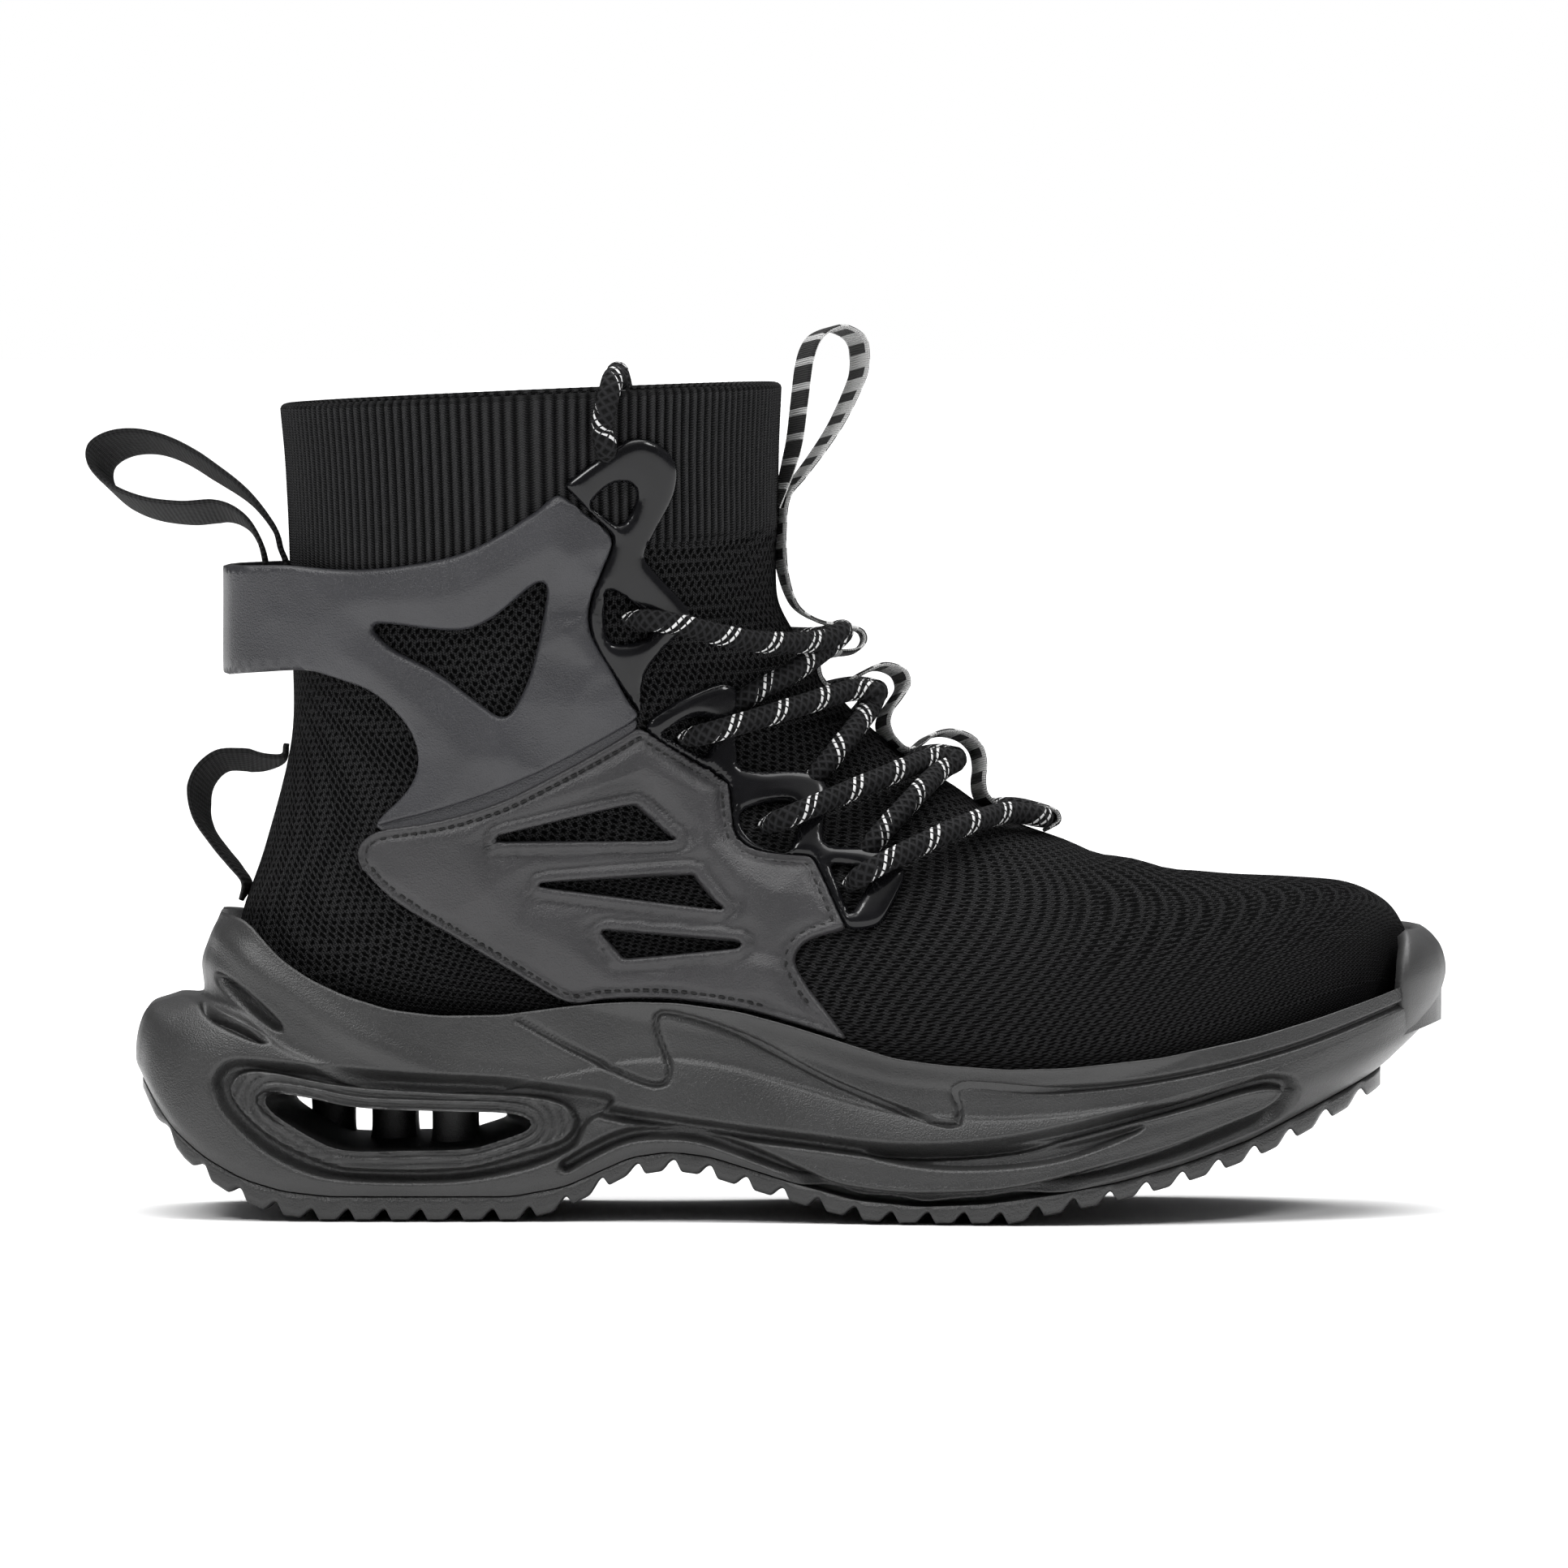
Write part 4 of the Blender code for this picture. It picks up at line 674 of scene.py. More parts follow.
def hole_lattice(tree, across, down, pitch, tall, size):
    """One in the pinholes of a brick lattice, nought between them."""
    row = maths(tree, "DIVIDE", down, tall)
    odd = maths(tree, "MODULO", maths(tree, "FLOOR", row), 2.0)
    shift = maths(tree, "MULTIPLY", maths(tree, "ABSOLUTE", odd), 0.5)
    column = maths(tree, "ADD", maths(tree, "DIVIDE", across, pitch), shift)
    side = maths(tree, "SUBTRACT", maths(tree, "FRACT", column), 0.5)
    rise = maths(tree, "SUBTRACT", maths(tree, "FRACT", row), 0.5)
    side = maths(tree, "MULTIPLY", side, 1.25)
    total = maths(tree, "ADD", maths(tree, "MULTIPLY", side, side), maths(tree, "MULTIPLY", rise, rise))
    away = maths(tree, "SQRT", total)
    return node(tree, "ShaderNodeMapRange", {"Value": away, "From Min": size * 0.5, "From Max": size,
                                             "To Min": 1.0, "To Max": 0.0},
                interpolation_type="SMOOTHSTEP").outputs[0]


def knit_material():
    made, tree, shader = new_material("knit")
    across = attribute(tree, "across")
    down = attribute(tree, "down")
    cuff = attribute(tree, "cuff")
    vent = attribute(tree, "vent")
    rib = attribute(tree, "rib")
    small = hole_lattice(tree, across, down, 2.05, 1.60, 0.44)
    large = hole_lattice(tree, across, down, 4.10, 3.50, 0.34)
    holes = maths(tree, "MAXIMUM", small, maths(tree, "MULTIPLY", large, vent))
    plain = maths(tree, "SUBTRACT", 1.0, cuff)
    holes = maths(tree, "MULTIPLY", holes, plain)
    loop_a = maths(tree, "SINE", maths(tree, "MULTIPLY", across, 2.0 * math.pi / 0.68))
    lean = maths(tree, "MULTIPLY", loop_a, 0.9)
    loop_b = maths(tree, "SINE", maths(tree, "ADD", maths(tree, "MULTIPLY", down, 2.0 * math.pi / 0.62), lean))
    loops = maths(tree, "MULTIPLY", maths(tree, "ADD", loop_a, loop_b), 0.25)
    wale = maths(tree, "MULTIPLY", maths(tree, "COSINE", rib), 1.6)
    ribbed = maths(tree, "MULTIPLY", maths(tree, "ADD", wale, loop_b), 0.25)
    yarn = maths(tree, "ADD", maths(tree, "MULTIPLY", loops, plain), maths(tree, "MULTIPLY", ribbed, cuff))
    place_node = node(tree, "ShaderNodeTexCoord")
    cloud = node(tree, "ShaderNodeTexNoise", {"Vector": place_node.outputs["Object"], "Scale": 1400.0,
                                              "Detail": 3.0})
    relief = maths(tree, "SUBTRACT", maths(tree, "ADD", yarn, maths(tree, "MULTIPLY", cloud.outputs["Fac"], 0.35)),
                   maths(tree, "MULTIPLY", holes, 1.3))
    # Colour follows the relief: painted shade in the pinholes and between the loops, and lighter loop crests and cuff
    # ribs as painted highlight.
    tone = node(tree, "ShaderNodeMapRange", {"Value": relief, "From Min": -0.9, "From Max": 0.7})
    colour = ramp(tree, tone.outputs[0], ((0.10, (0.0004, 0.0004, 0.0005)), (0.50, (0.0090, 0.0090, 0.0095)),
                                          (0.92, (0.040, 0.040, 0.041))))
    tree.links.new(colour, shader.inputs["Base Color"])
    shader.inputs["Roughness"].default_value = 0.92
    shader.inputs["Specular IOR Level"].default_value = 0.06
    bump(tree, shader, relief, 0.00060)
    return made


def gloss_material():
    made, tree, shader = new_material("gloss")
    place_node = node(tree, "ShaderNodeTexCoord")
    cloud = node(tree, "ShaderNodeTexNoise", {"Vector": place_node.outputs["Object"], "Scale": 160.0,
                                              "Detail": 3.0})
    colour = ramp(tree, cloud.outputs["Fac"], ((0.3, (0.003, 0.003, 0.0035)), (0.7, (0.006, 0.006, 0.007))))
    tree.links.new(colour, shader.inputs["Base Color"])
    rough = node(tree, "ShaderNodeMapRange", {"Value": cloud.outputs["Fac"], "To Min": 0.14, "To Max": 0.26})
    tree.links.new(rough.outputs[0], shader.inputs["Roughness"])
    shader.inputs["Specular IOR Level"].default_value = 0.22
    shader.inputs["Coat Weight"].default_value = 0.20
    shader.inputs["Coat Roughness"].default_value = 0.06
    bump(tree, shader, cloud.outputs["Fac"], 0.00008)
    return made


def cloth_material(name, dark, light, scale_a, scale_b, depth=0.00012):
    """Ribbed tape: fine cross ribs with a woven surface, the rib crests painted lighter and the furrows darker as
    painted shade.
    """
    made, tree, shader = new_material(name)
    place_node = node(tree, "ShaderNodeAttribute", attribute_name="run")
    turn_wave = node(tree, "ShaderNodeMath", {0: place_node.outputs["Fac"], 1: scale_a}, operation="MULTIPLY")
    sine = node(tree, "ShaderNodeMath", {0: turn_wave.outputs[0]}, operation="SINE")
    wide = node(tree, "ShaderNodeAttribute", attribute_name="wide")
    wide_wave = node(tree, "ShaderNodeMath", {0: wide.outputs["Fac"], 1: scale_b}, operation="MULTIPLY")
    sine_b = node(tree, "ShaderNodeMath", {0: wide_wave.outputs[0]}, operation="SINE")
    total = node(tree, "ShaderNodeMath", {0: sine.outputs[0], 1: sine_b.outputs[0]}, operation="ADD")
    scaled = node(tree, "ShaderNodeMapRange", {"Value": total.outputs[0], "From Min": -2.0, "From Max": 2.0})
    colour = ramp(tree, scaled.outputs[0], ((0.2, dark), (0.8, light)))
    tree.links.new(colour, shader.inputs["Base Color"])
    shader.inputs["Roughness"].default_value = 0.85
    shader.inputs["Specular IOR Level"].default_value = 0.25
    bump(tree, shader, total.outputs[0], depth)
    return made


TAPE_REPEAT_MM = 6.0
TAPE_CORE_MM = 5.4
TAPE_BLOCK_SHARE = 0.42
TAPE_BAR_SHARE = 0.72


def tape_material():
    """White woven tape with a row of plain even blocks on its face and straight bars on its back."""
    made, tree, shader = new_material("tape")
    run = attribute(tree, "run")
    wide = attribute(tree, "wide")
    weave_a = maths(tree, "SINE", maths(tree, "MULTIPLY", run, 2.0 * math.pi / 0.55))
    weave_b = maths(tree, "SINE", maths(tree, "MULTIPLY", wide, 2.0 * math.pi / 0.55))
    weave_sum = maths(tree, "ADD", weave_a, weave_b)
    step = maths(tree, "FRACT", maths(tree, "DIVIDE", run, TAPE_REPEAT_MM))
    back = maths(tree, "LESS_THAN", attribute(tree, "face"), 0.0)
    core = maths(tree, "LESS_THAN", maths(tree, "ABSOLUTE", wide), TAPE_CORE_MM)
    block = maths(tree, "MULTIPLY", maths(tree, "LESS_THAN", step, TAPE_BLOCK_SHARE), core)
    bar = maths(tree, "MULTIPLY", maths(tree, "LESS_THAN", step, TAPE_BAR_SHARE), back)
    mark = maths(tree, "MAXIMUM", block, bar)
    # Weave colour follows the weave height: painted shade in its furrows and lighter crests; the blocks and bars are
    # print.
    tone = node(tree, "ShaderNodeMapRange", {"Value": weave_sum, "From Min": -2.0, "From Max": 2.0})
    light = ramp(tree, tone.outputs[0], ((0.1, (0.46, 0.46, 0.46)), (0.9, (0.72, 0.72, 0.71))))
    dark = ramp(tree, tone.outputs[0], ((0.1, (0.006, 0.006, 0.006)), (0.9, (0.020, 0.020, 0.020))))
    mix = node(tree, "ShaderNodeMix", {"Factor": mark}, data_type="RGBA")
    colour_a = [s for s in mix.inputs if s.name == "A" and s.type == "RGBA"][0]
    colour_b = [s for s in mix.inputs if s.name == "B" and s.type == "RGBA"][0]
    tree.links.new(light, colour_a)
    tree.links.new(dark, colour_b)
    result = [s for s in mix.outputs if s.type == "RGBA"][0]
    tree.links.new(result, shader.inputs["Base Color"])
    shader.inputs["Roughness"].default_value = 0.8
    bump(tree, shader, weave_sum, 0.00010)
    return made


def lace_material():
    """Round braid of crossing strands, with light flecks grouped on one slow turn; the braid's crests are painted
    lighter and its grooves darker as painted shade.
    """
    made, tree, shader = new_material("lace")
    run = attribute(tree, "run")
    around = maths(tree, "ARCTAN2", attribute(tree, "turn_sine"), attribute(tree, "turn_cosine"))
    strands = maths(tree, "MULTIPLY", around, 5.0)
    ways = []
    for way in (1.0, -1.0):
        lean = maths(tree, "MULTIPLY", run, way * 2.0 * math.pi / 2.1)
        ways.append(maths(tree, "COSINE", maths(tree, "ADD", lean, strands)))
    weave_sum = maths(tree, "MAXIMUM", ways[0], ways[1])
    slow = maths(tree, "ADD", maths(tree, "MULTIPLY", run, 2.0 * math.pi / 13.0), around)
    fleck = maths(tree, "GREATER_THAN", maths(tree, "COSINE", slow), 0.62)
    crest = maths(tree, "GREATER_THAN", ways[0], 0.35)
    under = maths(tree, "LESS_THAN", ways[1], 0.75)
    mark = maths(tree, "MULTIPLY", maths(tree, "MULTIPLY", fleck, crest), under)
    tone = node(tree, "ShaderNodeMapRange", {"Value": weave_sum, "From Min": -0.4, "From Max": 1.0})
    dark = ramp(tree, tone.outputs[0], ((0.1, (0.0006, 0.0006, 0.0007)), (0.9, (0.013, 0.013, 0.014))))
    mix = node(tree, "ShaderNodeMix", {"Factor": mark}, data_type="RGBA")
    colour_a = [s for s in mix.inputs if s.name == "A" and s.type == "RGBA"][0]
    colour_b = [s for s in mix.inputs if s.name == "B" and s.type == "RGBA"][0]
    tree.links.new(dark, colour_a)
    colour_b.default_value = (0.70, 0.70, 0.70, 1.0)
    result = [s for s in mix.outputs if s.type == "RGBA"][0]
    tree.links.new(result, shader.inputs["Base Color"])
    shader.inputs["Roughness"].default_value = 0.75
    shader.inputs["Specular IOR Level"].default_value = 0.15
    bump(tree, shader, weave_sum, 0.00030)
    return made


KNIT = (knit_material(), "knit")
CAGE_LOOK = (moulded("cage", (0.023, 0.023, 0.026), (0.031, 0.031, 0.035), 0.36), "cage")
PANEL = (moulded("panel", (0.024, 0.0235, 0.025), (0.032, 0.031, 0.033), 0.38), "panel")
GLOSS = (gloss_material(), "gloss")
FOAM = (moulded("foam", (0.026, 0.026, 0.026), (0.035, 0.035, 0.035), 0.34, 0.00016), "foam")
# Near-black foam for the opening through the heel and its posts: painted shade, the same foam as the wall darkened
# where the inside lies in shadow.
SHADED_FOAM = (moulded("foam_painted_shade", (0.010, 0.010, 0.010), (0.016, 0.016, 0.016), 0.50), "foam")
GUARD_LOOK = (moulded("rubber", (0.036, 0.036, 0.036), (0.052, 0.052, 0.052), 0.42, 0.0001), "rubber")
THREAD = (moulded("thread", (0.003, 0.003, 0.003), (0.010, 0.010, 0.010), 0.8), "lace")
INSOLE_LOOK = (cloth_material("insole", (0.010, 0.010, 0.010), (0.030, 0.030, 0.030), 1.0, 1.0), "insole")
RIBBON = (cloth_material("ribbon", (0.006, 0.006, 0.006), (0.020, 0.020, 0.021), 2.0 * math.pi / 1.1,
                         2.0 * math.pi / 0.7), "ribbon")
TAPE_LOOK = (tape_material(), "tape")
LACE_LOOK = (lace_material(), "lace")


# ---- upper
RIBS = 150
RIB_HEIGHT = 0.00075
LIP = 6


def build_upper():
    columns = RIBS * 4
    turns = np.linspace(-math.pi, math.pi, columns, endpoint=False)
    outer = np.concatenate((np.linspace(0.0, 4.0, 32), np.linspace(4.1, LAST, 92)))
    inner = np.concatenate((np.linspace(LAST - 0.35, 4.1, 20), np.linspace(4.0, 0.0, 14)))
    rib = np.tanh(2.2 * np.cos(turns * RIBS) + 0.6)[None, :]
    fade = 1.0 - blend_step(outer[:, None], 2.05, 2.45)
    outside = form(outer[:, None], turns[None, :], RIB_HEIGHT * rib * fade)
    within = form(inner[:, None], turns[None, :], -WALL)
    top_out = form(0.0, turns, RIB_HEIGHT * rib[0])
    top_in = form(0.0, turns, -WALL)
    middle = 0.5 * (top_out + top_in)
    half = 0.5 * (top_out - top_in)
    lip = []
    for step in range(1, LIP):
        angle = math.pi * step / LIP
        lip.append(middle - half * math.cos(angle) + np.array((0.0, 0.0, WALL * 0.5)) * math.sin(angle))
    rows = np.concatenate((within, np.array(lip), outside))
    count = len(rows)
    points = rows.reshape(-1, 3)
    faces = grid_quads(count, columns, True)
    faces.append(list(range(columns)))
    faces.append(list(range((count - 1) * columns, count * columns))[::-1])
    lining = len(within)
    smooth_rows = np.concatenate((within, np.array(lip), form(outer[:, None], turns[None, :], 0.0)))
    spread = np.linalg.norm(np.diff(smooth_rows, axis=0), axis=2)
    run = np.concatenate((np.zeros((1, columns)), np.cumsum(spread, axis=0)))
    run = run - run[lining][None, :]
    middle_column = columns // 2
    step = np.linalg.norm(np.roll(smooth_rows, -1, axis=1) - smooth_rows, axis=2)
    around = np.cumsum(step, axis=1) - step
    around = around - around[:, middle_column:middle_column + 1]
    station_here = np.concatenate((inner, np.zeros(len(lip)), outer))[:, None] * np.ones((1, columns))
    cuff = 1.0 - blend_step(station_here, 2.05, 2.45)
    cuff[:lining] = 0.0
    turn_here = np.abs(turns)[None, :] * np.ones((count, 1))
    vent = blend_step(station_here, 13.9, 15.0) * (1.0 - blend_step(station_here, 17.6, 18.6))
    vent = vent * (1.0 - blend_step(turn_here, 0.9, 1.5))
    vent[:lining] = 0.0
    attributes = {"across": (around * 1000.0).ravel(), "down": (run * 1000.0).ravel(), "cuff": cuff.ravel(),
                  "vent": vent.ravel(), "rib": np.broadcast_to(turns * RIBS, run.shape).ravel()}
    return make_piece("upper_knit", points, faces, KNIT, ("upper",), True, attributes)


# ---- overlays
STAY_LOW_EYES = (
    ((0.402, 0.590), (0.421, 0.606), (0.433, 0.611), (0.4415, 0.603), (0.444, 0.585), (0.437, 0.560),
     (0.426, 0.571)),
    ((0.4635, 0.498), (0.480, 0.507), (0.500, 0.510), (0.508, 0.503), (0.507, 0.478), (0.500, 0.447),
     (0.490, 0.449), (0.476, 0.458), (0.467, 0.472), (0.463, 0.485)),
    ((0.531, 0.436), (0.554, 0.432), (0.564, 0.422), (0.556, 0.399), (0.546, 0.373)),
)
# Facets of the moulded panels: along, up and rise in millimetres
QUARTER_FACETS = (
    (0.335, 0.509, 0.50), (0.357, 0.531, 0.80), (0.389, 0.552, 1.00), (0.431, 0.514, 1.15),
    (0.456, 0.531, 0.25), (0.436, 0.451, 0.90), (0.459, 0.419, 1.00), (0.493, 0.392, 1.25),
    (0.536, 0.365, 0.20), (0.516, 0.432, 0.20), (0.445, 0.356, 0.55), (0.462, 0.374, 0.90),
    (0.241, 0.428, 0.25), (0.273, 0.482, 0.50), (0.269, 0.401, 0.95), (0.292, 0.428, 0.45),
    (0.315, 0.347, 0.95), (0.329, 0.369, 0.60), (0.357, 0.378, 0.40), (0.290, 0.365, 0.50),
    (0.484, 0.302, 0.85), (0.401, 0.292, 0.40), (0.351, 0.316, 0.65), (0.250, 0.460, 0.35),
    (0.425, 0.267, 0.30),
)
CAGE_FACETS = (
    (0.323, 0.872, 0.35), (0.322, 0.823, 1.05), (0.333, 0.809, 1.15), (0.365, 0.821, 0.25),
    (0.331, 0.715, 1.20), (0.335, 0.629, 1.05), (0.382, 0.615, 0.25), (0.283, 0.562, 0.95),
    (0.255, 0.562, 0.75), (0.303, 0.809, 0.90), (0.280, 0.787, 0.90), (0.260, 0.769, 0.90),
    (0.232, 0.757, 0.90), (0.189, 0.755, 0.80), (0.161, 0.747, 0.70), (0.145, 0.724, 0.50),
    (0.159, 0.696, 0.60), (0.187, 0.670, 0.70), (0.210, 0.639, 0.80), (0.232, 0.606, 0.85),
    (0.355, 0.778, 0.50), (0.354, 0.670, 0.60), (0.296, 0.503, 0.20), (0.247, 0.523, 0.35),
    (0.105, 0.739, 0.15),
)
# Web that joins the cage to the quarter, under the edges of both
CAGE_WEB = (
    (0.183, 0.482), (0.204, 0.491), (0.246, 0.509), (0.303, 0.543), (0.359, 0.588), (0.386, 0.611),
    (0.384, 0.594), (0.360, 0.570), (0.317, 0.533), (0.276, 0.502), (0.233, 0.482), (0.195, 0.471),
)
FACET_GAIN = 2.1
HEM_AT = 0.0021
HEM_HALF = 0.0006
HEM_DEPTH = 0.0007
LIP_WIDE = 0.0026
LIP_RISE = 0.0008
STITCH_PITCH = 0.0021


def facet_rise(spots, table, edge_line, hole_lines):
    """Rise of the flat facets at side-view points, nought along the outline."""
    rows = np.array(table)
    marks = [flat(rows[:, :2])]
    rises = [rows[:, 2] / 1000.0 * FACET_GAIN]
    edge = edge_line[::5]
    marks.append(edge)
    rises.append(np.zeros(len(edge)))
    for line in hole_lines:
        marks.append(line[::4])
        rises.append(np.full(len(line[::4]), 0.0003))
    places = np.concatenate(marks)
    values = np.concatenate(rises)
    result = delaunay_2d_cdt([Vector(p) for p in places], [], [], 0, 1e-7)
    corners = np.array([tuple(v) for v in result[0]])
    origins = result[3]
    heights = np.array([values[source[0]] if source else 0.0 for source in origins])
    rise = np.zeros(len(spots))
    for face in result[2]:
        a, b, c = corners[list(face)]
        size = (b[0] - a[0]) * (c[1] - a[1]) - (c[0] - a[0]) * (b[1] - a[1])
        if abs(size) < 1e-14:
            continue
        way = spots - a
        second = (way[:, 0] * (c[1] - a[1]) - way[:, 1] * (c[0] - a[0])) / size
        third = (way[:, 1] * (b[0] - a[0]) - way[:, 0] * (b[1] - a[1])) / size
        hit = (second >= -1e-6) & (third >= -1e-6) & (second + third <= 1.0 + 1e-6)
        value = heights[face[0]] * (1.0 - second - third) + heights[face[1]] * second + heights[face[2]] * third
        rise = np.where(hit, value, rise)
    return rise


def panel_relief(table, edge_line, hole_lines, hem, lips):
    """Relief of a moulded panel: facets, stitched hem round its rim and raised lips round its holes."""
    def read(spots, away):
        rise = facet_rise(spots, table, edge_line, hole_lines)
        total = rise
        if lips:
            near_hole = np.min([line_distance(spots, line, True) for line in hole_lines], axis=0)
            total = total * blend_step(near_hole, LIP_WIDE, LIP_WIDE * 2.6)
            part = np.clip(near_hole / LIP_WIDE, 0.0, 1.0)
            total = total + LIP_RISE * np.sqrt(np.clip(1.0 - (2.0 * part - 1.0) ** 4, 0.0, 1.0)) * (part < 1.0)
            total = total - LIP_RISE * 0.5 * (1.0 - blend_step(np.abs(near_hole - LIP_WIDE * 1.12), 0.0002, 0.0006))
        if hem:
            from_edge = line_distance(spots, edge_line, True)
            total = total * blend_step(from_edge, HEM_AT, HEM_AT * 2.2)
            total = total - HEM_DEPTH * (1.0 - blend_step(np.abs(from_edge - HEM_AT), HEM_HALF * 0.5, HEM_HALF * 1.5))
        return total
    return read


def build_stitches(name, edge_line, side, lookup, spans):
    """Short dark stitches in the hem groove, over the stated shares of the outline."""
    count = len(edge_line)
    ahead = np.roll(edge_line, -2, axis=0) - np.roll(edge_line, 2, axis=0)
    ahead = ahead / np.linalg.norm(ahead, axis=1, keepdims=True)
    normal = np.stack((-ahead[:, 1], ahead[:, 0]), axis=1)
    probe = edge_line + normal * HEM_AT
    if np.mean(inside(probe, edge_line)) < 0.5:
        normal = -normal
    line = edge_line + normal * HEM_AT
    keep = depth_in(line, edge_line) > HEM_AT * 0.82
    keep &= spans(line)
    station, turn = lookup.read(line, side)
    spots = form(station, side * turn, CLEARANCE + OVERLAY - HEM_DEPTH * 0.75)
    points = []
    faces = []
    travelled = 0.0
    sides = 6
    for k in range(1, count):
        gap = float(np.linalg.norm(spots[k] - spots[k - 1]))
        travelled += gap
        if travelled < STITCH_PITCH or not (keep[k] and keep[k - 1]) or gap > 0.004:
            continue
        travelled = 0.0
        way = spots[k] - spots[k - 1]
        way = way / max(np.linalg.norm(way), 1e-9)
        out = form(station[k], side * turn[k], 0.001) - form(station[k], side * turn[k], 0.0)
        out = out / np.linalg.norm(out)
        cross = np.cross(way, out)
        start = len(points)
        for along, size in ((-0.72, 0.35), (-0.5, 1.0), (0.5, 1.0), (0.72, 0.35)):
            for corner in range(sides):
                angle = 2.0 * math.pi * corner / sides
                offset = cross * math.cos(angle) * 0.00034 + out * math.sin(angle) * 0.00030
                points.append(spots[k] + way * along * 0.00105 + offset * size)
        faces += grid_quads(4, sides, True, start)
        faces.append([start + c for c in range(sides)][::-1])
        faces.append([start + 3 * sides + c for c in range(sides)])
    if points:
        make_piece(name, points, faces, THREAD)


def quarter_outline():
    quarter = list(QUARTER_EDGE) + list(QUARTER_REST)
    quarter += [(share, float(np.interp(share, *np.array(WALL_TOP).T)) + 0.003) for share in QUARTER_FOOT]
    return quarter + list(QUARTER_BACK)


def build_overlays():
    lookup = Lookup()
    fine = 0.0011
    outlines = {
        "quarter": (quarter_outline(), VENTS, PANEL, 0.0020, 0.0010),
        "eyestay_top": (STAY_TOP, STAY_TOP_HOLES, GLOSS, 0.0026, 0.0030),
        "eyestay_low": (list(STAY_LOW) + list(QUARTER_EDGE[::-1]), STAY_LOW_EYES, GLOSS, 0.0024, 0.0025),
    }
    for kind, (outline, holes, look, thick, edge) in outlines.items():
        edge_line = smooth_outline(flat(outline), fine)
        hole_lines = [smooth_outline(flat(hole), fine) for hole in holes]
        relief = None
        if kind == "quarter":
            relief = panel_relief(QUARTER_FACETS, edge_line, hole_lines, True, True)
        for name, side in SIDES:
            station, turn, faces = patch(edge_line, hole_lines, side, lookup, 0.0009)
            raised_patch(kind + "_" + name + "_skin", station, turn, faces, side, thick, edge, relief,
                         look, (kind + "_" + name,))
            if kind == "quarter":
                web_station, web_turn, web = patch(smooth_outline(flat(CAGE_WEB), fine), [], side, lookup, 0.0014)
                raised_patch("cage_web_" + name + "_skin", web_station, web_turn, web, side, OVERLAY * 0.5,
                             0.0006, None, CAGE_LOOK, ())
                foot = level(0.262)
                build_stitches("quarter_" + name + "_stitches", edge_line, side, lookup,
                               lambda line: line[:, 1] > foot)


def build_cage():
    """One sheet round the back: mapped on both sides and joined behind."""
    lookup = Lookup(True)
    outline = [point for point in CAGE if point[0] > 0.09]
    line = smooth_outline(flat(outline), 0.0011)
    scale = np.array((0.012, 0.040))
    top = (0.116, 0.794)
    station, turn = lookup.read(flat(outline), -1.0)
    marks = np.stack((station, turn), axis=1)
    first = int(np.argmin([abs(p[0] - 0.116) + abs(p[1] - 0.794) for p in outline]))
    ordered = np.roll(marks, -first, axis=0)
    runs = ordered[:-1]
    dense = []
    bends = []
    for k in range(len(runs)):
        a = runs[max(k - 1, 0)] * scale
        b = runs[k] * scale
        c = runs[min(k + 1, len(runs) - 1)] * scale
        u = b - a
        v = c - b
        bends.append(abs(math.degrees(math.atan2(u[0] * v[1] - u[1] * v[0], u @ v))) if u @ u and v @ v else 90.0)
    corners = [0] + [k for k in range(1, len(runs) - 1) if bends[k] > 50.0] + [len(runs) - 1]
    for here, there in zip(corners[:-1], corners[1:]):
        dense.append(spline_read(runs[here:there + 1] * scale, 0.0011)[:-1])
    dense.append((runs[-1] * scale)[None, :])
    half = np.concatenate(dense)
    start = half[0]
    final = half[-1]
    back_top = np.array((start[0] - 0.0002, math.pi * scale[1]))
    back_low = np.array((final[0] + 0.0002, math.pi * scale[1]))
    lead = np.linspace(back_top, start, 12)[:-1]
    tail = np.linspace(final, back_low, 12)[1:]
    lateral = np.concatenate((lead, half, tail))
    medial = lateral[::-1].copy()
    medial[:, 1] = 2.0 * math.pi * scale[1] - medial[:, 1]
    ring = np.concatenate((lateral, medial[1:-1]))
    for _ in range(2):
        ring = 0.5 * ring + 0.25 * (np.roll(ring, 1, axis=0) + np.roll(ring, -1, axis=0))
    hole_line = smooth_outline(flat(CAGE_HOLE), 0.0011)
    station, turn = lookup.read(hole_line, -1.0)
    hole = np.stack((station, turn), axis=1) * scale
    other = hole[::-1].copy()
    other[:, 1] = 2.0 * math.pi * scale[1] - other[:, 1]
    loops = [ring, hole, other]
    edges = []
    count = 0
    for loop in loops:
        edges += [(count + k, count + (k + 1) % len(loop)) for k in range(len(loop))]
        count += len(loop)
    station, turn, faces = weave(loops, loops, edges, scale, 0.0014)
    turn = np.where(turn > math.pi, turn - 2.0 * math.pi, turn)
    relief = panel_relief(CAGE_FACETS, line, [hole_line], False, False)
    raised_patch("ankle_cage_skin", station, turn, faces, 1.0, OVERLAY, 0.0010, relief, CAGE_LOOK,
                 ("ankle_cage",), True)


# ---- sole
def curve_value(pairs, along):
    table = np.asarray(pairs, dtype=float)
    return np.interp(along, table[:, 0], table[:, 1])


def soft_curve(pairs, along):
    """Curve through the pairs, rounded where it bends."""
    offsets = np.linspace(-0.008, 0.008, 9)
    return np.mean([curve_value(pairs, along + offset) for offset in offsets], axis=0)


SOLE_ROWS = 96
RING_PITCH = 0.0021
SOLE_COLUMNS = 1000


